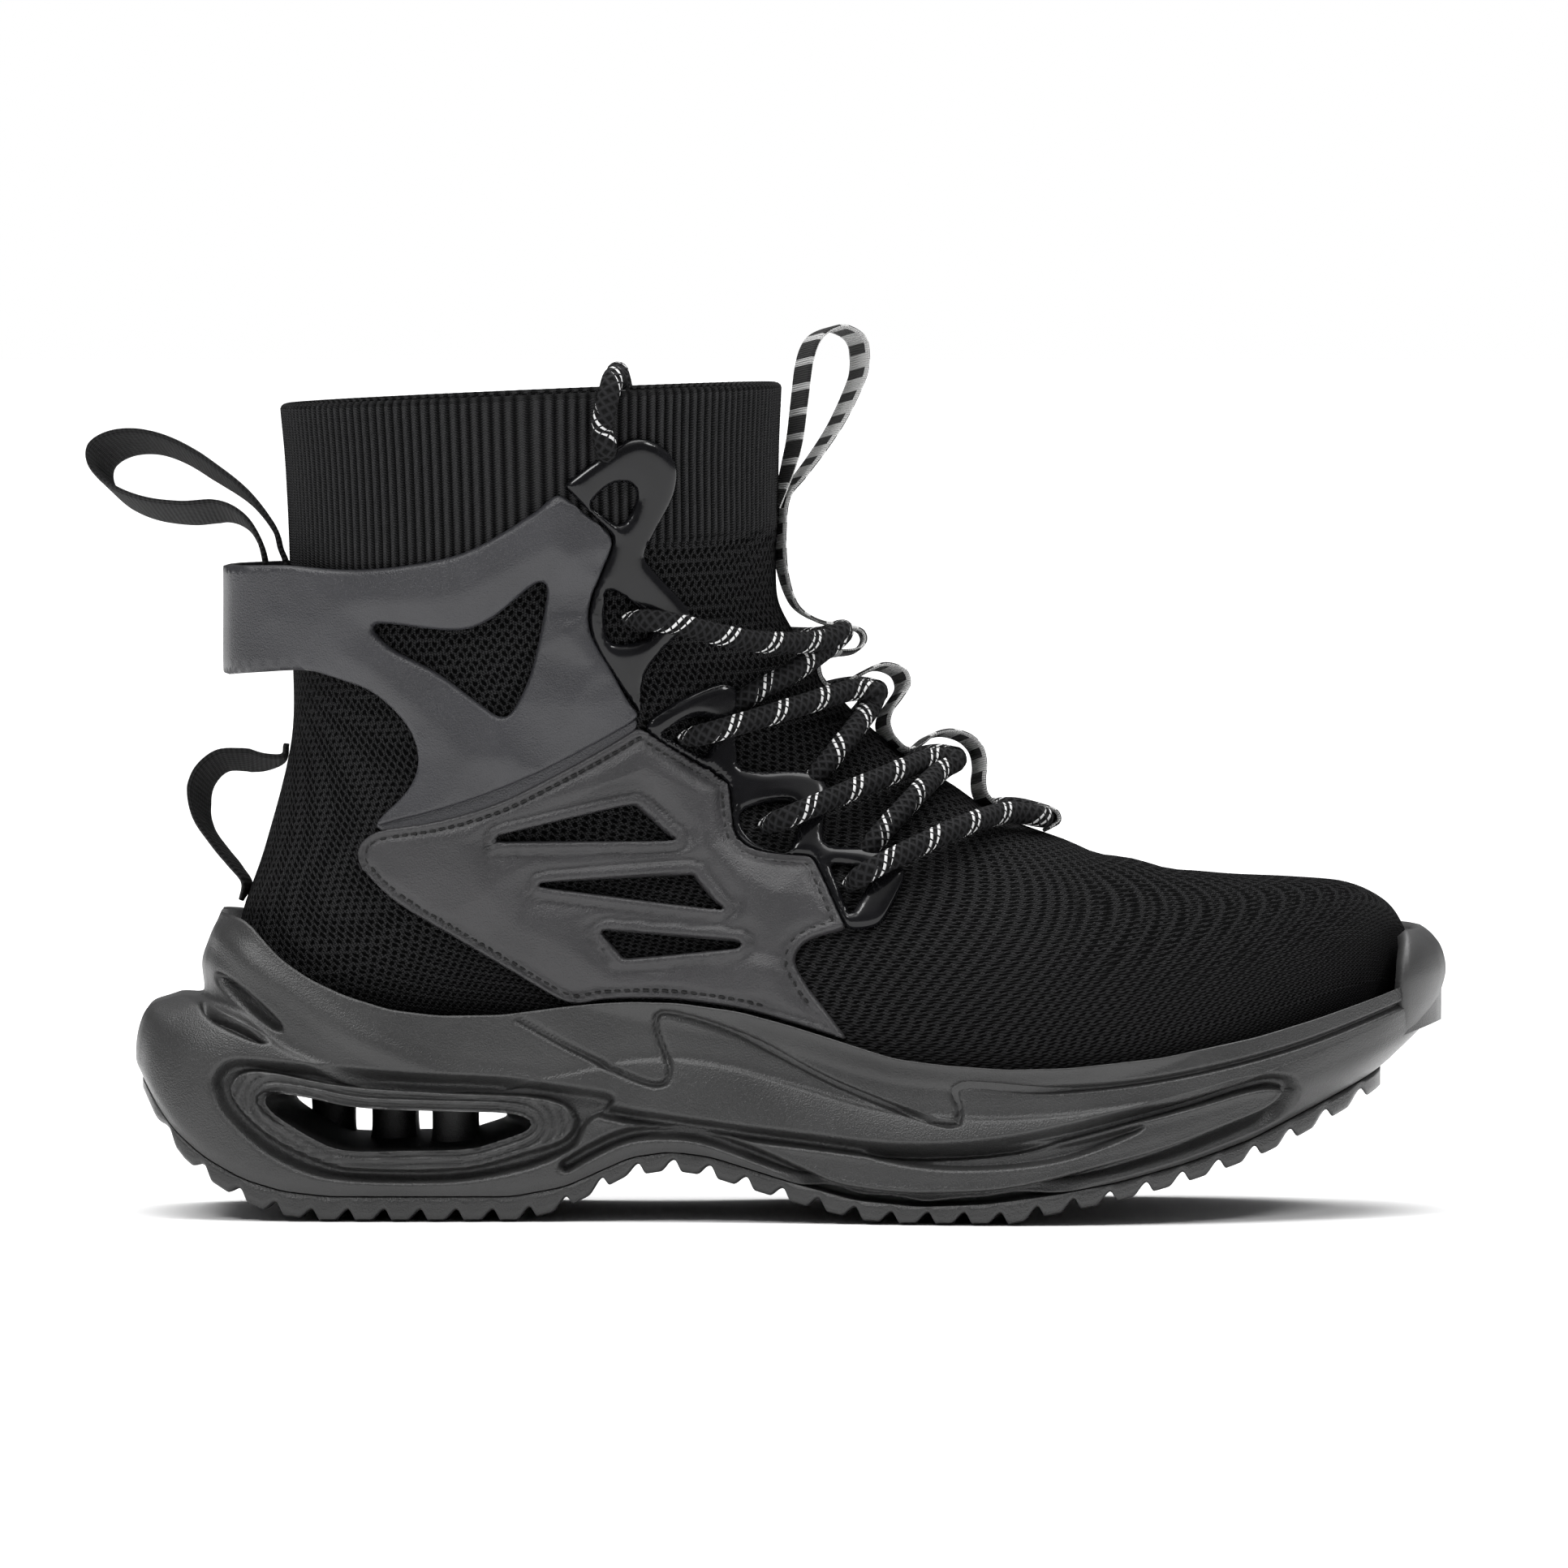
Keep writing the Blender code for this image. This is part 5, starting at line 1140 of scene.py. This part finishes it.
def plan_samples(count):
    shares = np.array([row[0] for row in PLAN])
    rows = np.array(PLAN)
    dense = through(rows, np.linspace(0.0, len(rows) - 1.0, 1200))
    run = np.concatenate(([0.0], np.cumsum(np.linalg.norm(np.diff(dense[:, :2] * (LENGTH, BALL_WIDTH),
                                                                  axis=0), axis=1))))
    marks = np.linspace(0.0, run[-1], count)
    return np.stack([np.interp(marks, run, dense[:, k]) for k in range(3)], axis=1)


def level_samples(count):
    rows = np.array(LEVELS)
    return through(rows, np.linspace(0.0, len(rows) - 1.0, count))


BELT = (
    (0.331, 0.147), (0.378, 0.129), (0.450, 0.112), (0.521, 0.099), (0.569, 0.091), (0.617, 0.091),
    (0.665, 0.099), (0.714, 0.115), (0.762, 0.134), (0.810, 0.153), (0.846, 0.168), (0.869, 0.172),
    (0.882, 0.162), (0.869, 0.134), (0.834, 0.111), (0.786, 0.084), (0.739, 0.064), (0.667, 0.037),
    (0.605, 0.031), (0.569, 0.033), (0.533, 0.042), (0.510, 0.058), (0.474, 0.083), (0.433, 0.106),
    (0.403, 0.110), (0.378, 0.106), (0.355, 0.091), (0.331, 0.069),
)
SOLE_RIDGE = (
    (0.069, 0.340), (0.086, 0.317), (0.110, 0.291), (0.146, 0.251), (0.182, 0.216), (0.236, 0.182),
    (0.300, 0.168),
)


def groove(spots, line, core, reach):
    """One inside the core of a line, fading to nought at its reach."""
    return 1.0 - blend_step(line_distance(spots, line), core, reach)


def sole_relief(spots):
    """Depth cut into the side wall at side-view points, in metres."""
    depth = np.zeros(len(spots))
    ring = smooth_outline(flat(RING), 0.002)
    window = smooth_outline(flat(WINDOW), 0.002)
    in_ring = depth_in(spots, ring)
    in_moat = depth_in(spots, smooth_outline(flat(MOAT), 0.002))
    from_window = -depth_in(spots, window)
    depth += GROOVE * 2.6 * blend_step(in_moat, -0.0004, 0.0016) * (1.0 - blend_step(in_ring, -0.0010, 0.0002))
    steps = 0.5 - 0.5 * np.cos(from_window * 2.0 * math.pi / RING_PITCH)
    depth += GROOVE * 0.8 * steps * blend_step(in_ring, 0.0004, 0.0010)
    depth += GROOVE * 1.0 * groove(spots, spline_read(flat(WAVE), 0.002), 0.0001, 0.0011)
    belt = spline_read(flat(BELT), 0.002)
    depth += GROOVE * 2.6 * groove(spots, belt, 0.0005, 0.0022) * (1.0 - blend_step(in_moat, -0.001, 0.002))
    in_belt = depth_in(spots, np.concatenate((belt, belt[:1])))
    depth += GROOVE * 0.5 * blend_step(in_belt, 0.0, 0.0040)
    lens = smooth_outline(flat(LENS), 0.002)
    depth += GROOVE * 2.2 * blend_step(depth_in(spots, lens), -0.0004, 0.0018)
    for slot_line in HEEL_SLOTS:
        line = smooth_outline(flat(slot_line), 0.002)
        depth += GROOVE * 2.2 * blend_step(depth_in(spots, line), -0.0005, 0.0012)
    depth -= GROOVE * 0.45 * groove(spots, spline_read(flat(SOLE_RIDGE), 0.002), 0.0, 0.0045)
    return depth


def build_midsole():
    plan = plan_samples(SOLE_COLUMNS // 2)
    levels = level_samples(SOLE_ROWS)
    share = np.concatenate((plan[:, 0], plan[::-1, 0]))
    reach = np.concatenate((-plan[:, 1], plan[::-1, 2]))
    along = levels[:, 1:2] + share[None, :] * (levels[:, 2:3] - levels[:, 1:2])
    low = level(soft_curve(PARTING, along)) + CLEARANCE
    high = level(soft_curve(WALL_TOP, along))
    up = low + levels[:, 0:1] * (high - low)
    across = distance_along(along)
    wide = reach[None, :] * levels[:, 3:4] * BALL_WIDTH
    points = np.stack((across, wide, up), axis=-1)
    return points


def skin_reach(lookup, spots, side, out):
    station, turn = lookup.read(spots, side)
    return form(station, side * turn, out)[:, 1]


def sole_mesh():
    points = build_midsole()
    lookup = Lookup()
    rows, columns = points.shape[:2]
    half = columns // 2
    for name, start, stop, side in (("lateral", 0, half, -1.0), ("medial", half, columns, 1.0)):
        for row in range(rows - 14, rows):
            weight = blend_step(row, rows - 15, rows - 1)
            line = points[row, start:stop]
            skin = side * skin_reach(lookup, line[:, ::2], side, RIM)
            reach = side * line[:, 1]
            points[row, start:stop, 1] = side * np.maximum(reach, reach + (skin - reach) * weight)
    ahead = np.roll(points, -1, axis=1) - np.roll(points, 1, axis=1)
    upward = np.gradient(points, axis=0)
    normal = np.cross(ahead, upward)
    normal = normal / np.maximum(np.linalg.norm(normal, axis=-1, keepdims=True), 1e-9)
    spots = points[..., ::2].reshape(-1, 2)
    depth = sole_relief(spots).reshape(rows, columns)
    ends = blend_step(np.abs(points[..., 1]), 0.004, 0.012)
    depth = depth * ends
    points = points - normal * depth[..., None]
    inner = []
    for lift, inset in ((-0.0006, 0.0012), (-0.004, 0.0030), (-0.012, 0.0040)):
        edge = points[-1].copy()
        centre = np.array((float(distance_along(0.5)), 0.0))
        edge[:, 1] -= np.sign(edge[:, 1]) * inset
        edge[:, 2] += lift
        inner.append(edge)
    points = np.concatenate((points, np.array(inner)))
    faces = grid_quads(len(points), columns, True)
    window = smooth_outline(flat(WINDOW), 0.002)
    centre = points[:-1].reshape(-1, 3)
    cloud = points.reshape(-1, 3)
    hit = inside(cloud[:, ::2], window)
    keep = []
    rim = set()
    for quad in faces:
        held = [k for k in quad if hit[k]]
        if len(held) < 4:
            keep.append(quad)
            rim.update(held)
    for k in rim:
        cloud[k, ::2] = window[int(np.argmin(np.linalg.norm(window - cloud[k, ::2], axis=1)))]
    points = cloud.reshape(points.shape)
    bottom = list(range(columns))[::-1]
    keep.append(bottom)
    flat_points = points.reshape(-1, 3)
    piece = make_piece("midsole_wall", flat_points, keep, FOAM, ("midsole",), True)
    tunnel(window)
    return piece


def tunnel(window):
    """Walls of the opening through the heel, with its upright posts, coloured near black as painted shade of the
    hollow.
    """
    rows = []
    stations = np.linspace(-1.0, 1.0, 15)
    for step in stations:
        flare = 1.0 + 0.10 * abs(step) ** 6
        middle = window.mean(axis=0)
        ring = middle + (window - middle) * (0.80 + 0.18 * step * step) * flare
        rows.append([(a, step * 0.0405, b) for a, b in ring])
    points = np.array(rows)
    faces = grid_quads(len(rows), len(window), True, 0, True)
    make_piece("midsole_window_wall", points.reshape(-1, 3), faces, SHADED_FOAM)
    for number, (share, side) in enumerate(PILLARS):
        rings = []
        low = float(level(0.082))
        high = float(level(0.150))
        for height in np.linspace(low, high, 9):
            part = abs(2.0 * (height - low) / (high - low) - 1.0)
            radius = PILLAR * 0.5 * (1.5 + 0.25 * part ** 3)
            angles = np.linspace(0.0, 2.0 * math.pi, 28, endpoint=False)
            rings.append([(float(distance_along(share)) + radius * math.cos(a),
                           side * BALL_WIDTH / 2.0 + radius * math.sin(a), height) for a in angles])
        rings = np.array(rings)
        make_piece("midsole_post_" + str(number), rings.reshape(-1, 3), grid_quads(9, 28, True), SHADED_FOAM)


def tooth_drop(along):
    """Nought on a tooth, one at the root of the notch beside it."""
    part = np.mod((along - FIRST_TOOTH) / TOOTH_PITCH, 1.0)
    part = np.where(part < 0.12, part + 1.0, part)
    rise = blend_step(part, 0.50, 0.90)
    fall = blend_step(part, 0.90, 1.12)
    return np.where(part < 0.90, rise, 1.0 - fall)


OUTSOLE_ACROSS = 41


def build_outsole():
    """Slices from heel to toe with notched teeth and two long channels."""
    plan = plan_samples(700)
    lowest = LEVELS[0]
    marks = lowest[1] + plan[:, 0] * (lowest[2] - lowest[1])
    along = np.linspace(marks[0] + 1e-4, marks[-1] - 1e-4, 760)
    left = np.interp(along, marks, plan[:, 1]) * lowest[3] * BALL_WIDTH
    right = np.interp(along, marks, plan[:, 2]) * lowest[3] * BALL_WIDTH
    tip = level(curve_value(TREAD, along))
    root = level(curve_value(TREAD, along) + TOOTH_DEPTH)
    top = level(soft_curve(PARTING, along))
    share = np.linspace(-1.0, 1.0, OUTSOLE_ACROSS)
    reach = np.where(share[None, :] < 0.0, left[:, None], right[:, None])
    aside = share[None, :] * reach
    lean = along[:, None] + 0.004 * np.abs(share)[None, :] ** 2
    drop = tooth_drop(lean)
    channel = groove_across(share)[None, :] * np.ones((len(along), 1))
    drop = np.maximum(drop, 0.8 * channel)
    bottom = tip[:, None] + (root - tip)[:, None] * drop
    bottom = np.minimum(bottom, top[:, None] - 0.0008)
    round_off = blend_step(np.abs(share), 0.93, 1.0)[None, :]
    bottom = bottom + 0.0009 * round_off
    across = distance_along(along)[:, None] * np.ones((1, OUTSOLE_ACROSS))
    base = np.stack((across, aside, bottom), axis=-1)
    walls = []
    for column in (-1, 0):
        foot = base[:, column]
        lip = foot.copy()
        lip[:, 2] = np.maximum(top, foot[:, 2] + 0.0004)
        walls.append([foot + (lip - foot) * part for part in (0.33, 0.66, 1.0)])
    ring = [base[:, k] for k in range(OUTSOLE_ACROSS)]
    ring += walls[0]
    for part in (0.75, 0.25):
        ring.append(walls[0][2] * part + walls[1][2] * (1.0 - part))
    ring += walls[1][::-1]
    rows = np.stack(ring, axis=1)
    count = rows.shape[1]
    faces = grid_quads(len(rows), count, True, 0, True)
    faces.append(list(range(count)))
    faces.append(list(range((len(rows) - 1) * count, len(rows) * count))[::-1])
    return make_piece("outsole_tread", rows.reshape(-1, 3), faces, FOAM, ("outsole",), True)


def groove_across(share):
    return np.maximum(1.0 - blend_step(np.abs(share + 0.36), 0.02, 0.07),
                      1.0 - blend_step(np.abs(share - 0.36), 0.02, 0.07))


GUARD_EDGE = ((0.130, 0.946), (0.168, 0.951), (0.205, 0.963), (0.240, 0.968), (0.285, 0.969), (0.350, 0.971))
GUARD_SWELL = 0.0011


def build_guard():
    """Rounded bumper round the toe: the nose of the sole, swollen and turned in at its rim."""
    levels = through(np.array(NOSE_LEVELS), np.linspace(0.8, len(NOSE_LEVELS) - 1.0, 40))
    plan = plan_samples(1600)
    half_rows = []
    for rise, back, front, spread in levels:
        line = back + plan[:, 0] * (front - back)
        high = NOSE_TOP
        low = curve_value(PARTING, line)
        height = low + rise * (high - low)
        edge = np.interp(height, [row[0] for row in GUARD_EDGE], [row[1] for row in GUARD_EDGE])
        keep = line >= edge
        first = int(np.argmax(keep))
        lateral = np.stack((distance_along(line), -plan[:, 1] * spread * BALL_WIDTH, level(height)), axis=1)[first:]
        medial = np.stack((distance_along(line), plan[:, 2] * spread * BALL_WIDTH, level(height)), axis=1)[first:]
        whole = np.concatenate((lateral, medial[::-1]))
        run = np.concatenate(([0.0], np.cumsum(np.linalg.norm(np.diff(whole, axis=0), axis=1))))
        marks = np.linspace(0.0, run[-1], 90)
        half_rows.append(np.stack([np.interp(marks, run, whole[:, k]) for k in range(3)], axis=1))
    outer = np.array(half_rows)
    normal = np.cross(np.gradient(outer, axis=1), np.gradient(outer, axis=0))
    normal = normal / np.linalg.norm(normal, axis=-1, keepdims=True)
    rows, columns = outer.shape[:2]
    row_part = np.linspace(-1.0, 1.0, rows)[:, None]
    column_part = np.linspace(-1.0, 1.0, columns)[None, :]
    crown = np.sqrt(np.clip(1.0 - row_part ** 6, 0.0, 1.0)) * np.sqrt(np.clip(1.0 - column_part ** 10, 0.0, 1.0))
    skin = outer + normal * (GUARD_SWELL * crown - 0.0004)[..., None]
    inner = outer - normal * 0.0030
    spots = np.concatenate((skin.reshape(-1, 3), inner.reshape(-1, 3)))
    total = rows * columns
    faces = grid_quads(rows, columns, False)
    back_faces = [[k + total for k in quad[::-1]] for quad in faces]
    rim = list(range(columns))
    rim += [row * columns + columns - 1 for row in range(1, rows)]
    rim += [(rows - 1) * columns + k for k in range(columns - 2, -1, -1)]
    rim += [row * columns for row in range(rows - 2, 0, -1)]
    side_faces = [(b, a, a + total, b + total) for a, b in zip(rim, rim[1:] + rim[:1])]
    return make_piece("toe_bumper", spots, faces + back_faces + side_faces, GUARD_LOOK, ("toe_guard",), True)


# ---- ribbons, laces
def tube_mesh(name, path, radius, look, nodes, sides=16, squeeze=(1.0, 1.0)):
    """Round cord along a path, drawn in at its two ends."""
    path = np.asarray(path, dtype=float)
    tangent = np.gradient(path, axis=0)
    tangent = tangent / np.linalg.norm(tangent, axis=1, keepdims=True)
    normal = np.cross(tangent[0], (0.21, 0.13, 0.97))
    rows = []
    run = np.concatenate(([0.0], np.cumsum(np.linalg.norm(np.diff(path, axis=0), axis=1)))) * 1000.0
    angles = np.linspace(0.0, 2.0 * math.pi, sides, endpoint=False)
    fade = LACE_DIAMETER * 1000.0
    size = squeeze[0] + (1.0 - squeeze[0]) * blend_step(run, 0.0, fade)
    size = size * (squeeze[1] + (1.0 - squeeze[1]) * blend_step(run[-1] - run, 0.0, fade))
    for spot, way, share in zip(path, tangent, size):
        normal = normal - way * np.dot(normal, way)
        normal = normal / np.linalg.norm(normal)
        side = np.cross(way, normal)
        ring = np.cos(angles)[:, None] * normal + np.sin(angles)[:, None] * side
        rows.append(spot + radius * share * ring)
    rows = np.array(rows)
    faces = grid_quads(len(rows), sides, True)
    faces.append(list(range(sides))[::-1])
    faces.append(list(range((len(rows) - 1) * sides, len(rows) * sides)))
    attributes = {"run": np.repeat(run, sides), "turn_cosine": np.tile(np.cos(angles), len(rows)),
                  "turn_sine": np.tile(np.sin(angles), len(rows))}
    return make_piece(name, rows.reshape(-1, 3), faces, look, nodes, True, attributes)


def ribbon_mesh(name, path, width, thick, look, nodes, lean=None, steps=13):
    """Flat tape with soft edges; lean moves its near edge along X and Z, in shares of the half width."""
    path = spline_read(path, 0.0006)
    ahead = np.gradient(path, axis=0)
    ahead = ahead / np.linalg.norm(ahead, axis=1, keepdims=True)
    run = np.concatenate(([0.0], np.cumsum(np.linalg.norm(np.diff(path, axis=0), axis=1)))) * 1000.0
    share = run / run[-1]
    across = np.linspace(-1.0, 1.0, steps)
    edge = np.sqrt(np.maximum(1.0 - np.abs(across) ** 10, 0.05))
    ring_wide = np.concatenate((across, across[::-1]))
    ring_high = np.concatenate((edge, -edge[::-1])) * 0.5
    rows = []
    for spot, way, part in zip(path, ahead, share):
        shift_x, shift_z = (0.0, 0.0) if lean is None else lean(part)
        offset = np.array((-shift_x, 1.0, -shift_z))
        offset = offset / np.linalg.norm(offset)
        up = np.cross(offset, way)
        up = up / np.linalg.norm(up)
        rows.append(spot + ring_wide[:, None] * offset * width / 2.0 + ring_high[:, None] * up * thick)
    rows = np.array(rows)
    sides = len(ring_wide)
    faces = grid_quads(len(rows), sides, True)
    faces.append(list(range(sides))[::-1])
    faces.append(list(range((len(rows) - 1) * sides, len(rows) * sides)))
    face_side = np.sign(ring_high)
    attributes = {"run": np.repeat(run, sides), "wide": np.tile(ring_wide * width * 500.0, len(rows)),
                  "face": np.tile(face_side, len(rows))}
    return make_piece(name, rows.reshape(-1, 3), faces, look, nodes, True, attributes)


def lean_table(rows):
    """Lean of a ribbon between named shares of its length."""
    table = np.array(rows)
    return lambda part: (float(np.interp(part, table[:, 0], table[:, 1])),
                         float(np.interp(part, table[:, 0], table[:, 2])))


def crossing_centre(row):
    out = LACE_DIAMETER / 2.0 + 2.0 * CLEARANCE + row["lift"] * LACE_DIAMETER
    spot = np.array(form(row["station"], 0.0, out))
    spot[1] = 0.0
    return spot


SUNK = 0.0004
HOOK_PAST = np.array((-0.013, -0.020))


def strand_half(row, side, lookup):
    low = LACE_DIAMETER / 2.0 + 2.0 * CLEARANCE
    high = low + OVERLAY + 2.0 * CLEARANCE
    out = LACE_DIAMETER / 2.0 + 2.0 * CLEARANCE + row["lift"] * LACE_DIAMETER
    marks = lookup.read(flat((row["hole"], row["bar"])), side)
    hole = (marks[0][0], marks[1][0])
    bar = (marks[0][1], marks[1][1])
    path = [form(hole[0], side * hole[1], SUNK), form(bar[0], side * bar[1], high + 0.0004)]
    for part in (0.35, 0.7):
        station = bar[0] + (row["station"] - bar[0]) * part
        path.append(form(station, side * bar[1] * (1.0 - part), high + (out - high) * part))
    return path


def strand_path(row, side, lookup):
    low = LACE_DIAMETER / 2.0 + 2.0 * CLEARANCE
    out = low + row["lift"] * LACE_DIAMETER
    centre = crossing_centre(row)
    path = strand_half(row, side, lookup)
    sway = LACE_DIAMETER * 0.05
    wide = TAPE_WIDTH * 0.58
    path.append(centre + np.array((0.0, side * wide, sway)))
    path.append(centre)
    if row["hook"] == (0.0, 0.0):
        path.append(centre + np.array((0.0, -side * wide, sway)))
        return path + strand_half(row, -side, lookup)[::-1]
    path.append(centre + np.array((0.0, -side * wide, -sway)))
    marks = lookup.read(flat((row["hook"],)), side)
    hook = (marks[0][0], marks[1][0])
    for part in (0.35, 0.7):
        station = row["station"] + (hook[0] - row["station"]) * part
        path.append(form(station, -side * hook[1] * part, out + (low - out) * part))
    path.append(form(hook[0], -side * hook[1], low * 0.8))
    marks = lookup.read(flat((np.array(row["hook"]) + HOOK_PAST,)), side)
    path.append(form(marks[0][0], -side * marks[1][0], SUNK))
    return path


def build_laces():
    lookup = Lookup()
    radius = LACE_DIAMETER / 2.0
    for number, values in enumerate(CROSSINGS):
        row = dict(zip(CROSSING_COLUMNS, values))
        name = "lace_cross_" + str(number + 1)
        first = strand_path(row, -1.0, lookup)
        tube_mesh(name + "_near", spline_read(first, 0.0007), radius, LACE_LOOK, (name,), squeeze=(0.7, 0.7))
        if row["hook"] != (0.0, 0.0):
            second = strand_path(row, 1.0, lookup)
            tube_mesh(name + "_far", spline_read(second, 0.0007), radius, LACE_LOOK, (), squeeze=(0.7, 0.7))


END_TUCK = (0.3625, 0.928)


def build_lace_ends():
    lookup = Lookup()
    low = LACE_DIAMETER / 2.0 + 2.0 * CLEARANCE
    for name, side in SIDES:
        knots = []
        station, turn = lookup.read(flat((END_TUCK,)), side)
        knots.append(form(station[0], side * turn[0], low * 0.1))
        station, turn = lookup.read(flat(END_OUTSIDE), side)
        for a, b in zip(station, turn):
            knots.append(form(a, side * b, low * 1.1))
        rim_turn = side * lookup.read(flat((END_RIM,)), side)[1][0]
        rim = form(0.0, rim_turn, 0.0)
        outward = (form(0.0, rim_turn, low) - rim) / low
        for step, (across, up) in enumerate(RIM_ARC):
            inward = WALL * (step / (len(RIM_ARC) - 1.0))
            knots.append(rim + outward * (across * low - inward) + np.array((0.0, 0.0, up * low))
                         + np.array((low, 0.0, 0.0)) * RIM_DRIFT * step)
        station, turn = lookup.read(flat(END_INSIDE), side)
        for a, b in zip(station, turn):
            knots.append(form(a, side * b, -WALL - low * END_SLACK))
        path = spline_read(knots, 0.0007)
        piece = tube_mesh("lace_end_" + name + "_cord", path, LACE_DIAMETER / 2.0, LACE_LOOK,
                          ("lace_end_" + name,))


TAPE_RUN = (
    (0.490, 0.862), (0.497, 0.897), (0.504, 0.941), (0.508, 0.991), (0.512, 1.040), (0.519, 1.068),
    (0.531, 1.080), (0.541, 1.079), (0.551, 1.068), (0.554, 1.050), (0.553, 1.025), (0.546, 0.996),
    (0.535, 0.961), (0.521, 0.927), (0.507, 0.897), (0.4955, 0.872), (0.493, 0.832), (0.4945, 0.790),
    (0.500, 0.756), (0.508, 0.736), (0.524, 0.722), (0.541, 0.717), (0.554, 0.711), (0.557, 0.698),
    (0.550, 0.686), (0.536, 0.683), (0.525, 0.678), (0.521, 0.666), (0.523, 0.649), (0.529, 0.640),
    (0.540, 0.644), (0.554, 0.657), (0.569, 0.667), (0.583, 0.660), (0.587, 0.643), (0.581, 0.626),
    (0.574, 0.610), (0.572, 0.594), (0.577, 0.576), (0.587, 0.563), (0.597, 0.569), (0.607, 0.581),
    (0.620, 0.586), (0.634, 0.580), (0.643, 0.566), (0.646, 0.546), (0.645, 0.526), (0.647, 0.509),
    (0.654, 0.497), (0.664, 0.489), (0.676, 0.492), (0.690, 0.495), (0.702, 0.488), (0.7045, 0.476),
    (0.697, 0.468),
)
TAPE_LEAN = ((0.0, 0.12, 0.0), (0.05, 0.30, 0.08), (0.25, 0.36, 0.12), (0.42, 0.20, 0.08), (0.50, 0.05, 0.0),
             (0.60, 0.10, 0.15), (0.70, 0.28, 0.15), (0.80, 0.22, 0.15), (0.92, 0.25, 0.12), (1.0, 0.10, 0.10))
PULL_LEAN = ((0.0, 0.0, 0.0), (0.12, 0.0, 0.10), (0.30, -0.20, 0.45), (0.55, -0.45, 0.45), (0.80, -0.15, 0.40),
             (0.92, 0.0, 0.10), (1.0, 0.0, 0.0))
LOW_LEAN = ((0.0, 0.0, 0.0), (0.2, 0.0, 0.55), (0.5, -0.55, 0.50), (0.8, -0.40, 0.25), (1.0, 0.0, 0.0))


def side_path(points):
    return [np.array((float(distance_along(a)), 0.0, float(level(b)))) for a, b in points]


def studio():
    """Plain pale floor under soft light, brightest from above."""
    scene = bpy.context.scene
    scene.view_settings.view_transform = "Standard"
    world = bpy.data.worlds.new("studio")
    scene.world = world
    world.use_nodes = True
    tree = world.node_tree
    background = tree.nodes["Background"]
    spot = node(tree, "ShaderNodeTexCoord")
    parts = node(tree, "ShaderNodeSeparateXYZ", {"Vector": spot.outputs["Generated"]})
    height = maths(tree, "ABSOLUTE", parts.outputs["Z"])
    tone = ramp(tree, height, ((0.028, (1.0, 1.0, 1.0)), (0.055, (0.13, 0.13, 0.135)), (0.62, (0.16, 0.16, 0.165)),
                               (0.90, (1.1, 1.1, 1.1))))
    tree.links.new(tone, background.inputs["Color"])
    background.inputs["Strength"].default_value = 1.0
    reach = 14.0
    mesh = bpy.data.meshes.new("floor")
    mesh.from_pydata([(-reach, -reach, 0), (reach, -reach, 0), (reach, reach, 0), (-reach, reach, 0)], [],
                     [(0, 1, 2, 3)])
    floor = bpy.data.objects.new("floor", mesh)
    scene.collection.objects.link(floor)
    paint, tree, shader = new_material("floor_white")
    shader.inputs["Base Color"].default_value = (1.0, 1.0, 1.0, 1.0)
    shader.inputs["Roughness"].default_value = 0.95
    shader.inputs["Specular IOR Level"].default_value = 0.0
    mesh.materials.append(paint)
    target = Vector((0.08, 0.0, 0.10))
    sun = bpy.data.lights.new("sky_soft", "SUN")
    sun.energy = 2.8
    sun.angle = math.radians(56.0)
    holder = bpy.data.objects.new("sky_soft", sun)
    holder.rotation_euler = (math.radians(-4.0), 0.0, 0.0)
    scene.collection.objects.link(holder)
    for name, spot_at, size, power in (("key", (-0.9, -1.0, 1.5), 0.45, 12.0), ("edge", (1.1, -0.5, 1.3), 0.35, 6.0)):
        light = bpy.data.lights.new(name, "AREA")
        light.shape = "SQUARE"
        light.size = size
        light.energy = power
        made = bpy.data.objects.new(name, light)
        made.location = spot_at
        made.rotation_euler = (target - Vector(spot_at)).to_track_quat("-Z", "Y").to_euler()
        scene.collection.objects.link(made)
    camera = bpy.data.cameras.new("camera")
    camera.sensor_width = 36.0
    camera.lens = 387.0
    eye = bpy.data.objects.new("camera", camera)
    eye.location = (0.0811, -4.0, 0.26)
    way = Vector((0.0811, 0.0, 0.1015)) - eye.location
    eye.rotation_euler = way.to_track_quat("-Z", "Y").to_euler()
    scene.collection.objects.link(eye)
    scene.camera = eye


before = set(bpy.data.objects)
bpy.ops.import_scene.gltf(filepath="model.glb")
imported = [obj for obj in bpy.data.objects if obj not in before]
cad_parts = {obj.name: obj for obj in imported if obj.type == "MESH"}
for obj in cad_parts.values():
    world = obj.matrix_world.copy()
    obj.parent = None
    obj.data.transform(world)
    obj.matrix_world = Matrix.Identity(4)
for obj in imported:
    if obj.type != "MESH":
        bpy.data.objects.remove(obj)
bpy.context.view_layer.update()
studio()
build_laces()
build_lace_ends()
ribbon_mesh("tongue_tape_band", side_path(TAPE_RUN), TAPE_WIDTH * 0.93, TAPE, TAPE_LOOK, ("tongue_tape",),
            lean_table(TAPE_LEAN))
ribbon_mesh("heel_pull_band", side_path(PULL_LOOP), PULL_WIDTH, PULL * 0.8, RIBBON, ("heel_pull_loop",),
            lean_table(PULL_LEAN))
ribbon_mesh("heel_low_band", side_path(LOW_LOOP), PULL_WIDTH * 0.75, PULL * 0.8, RIBBON, ("heel_low_loop",),
            lean_table(LOW_LEAN))
build_upper()
build_overlays()
build_cage()
sole_mesh()
build_outsole()
build_guard()
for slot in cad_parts["insole"].material_slots:
    slot.material = INSOLE_LOOK[0]
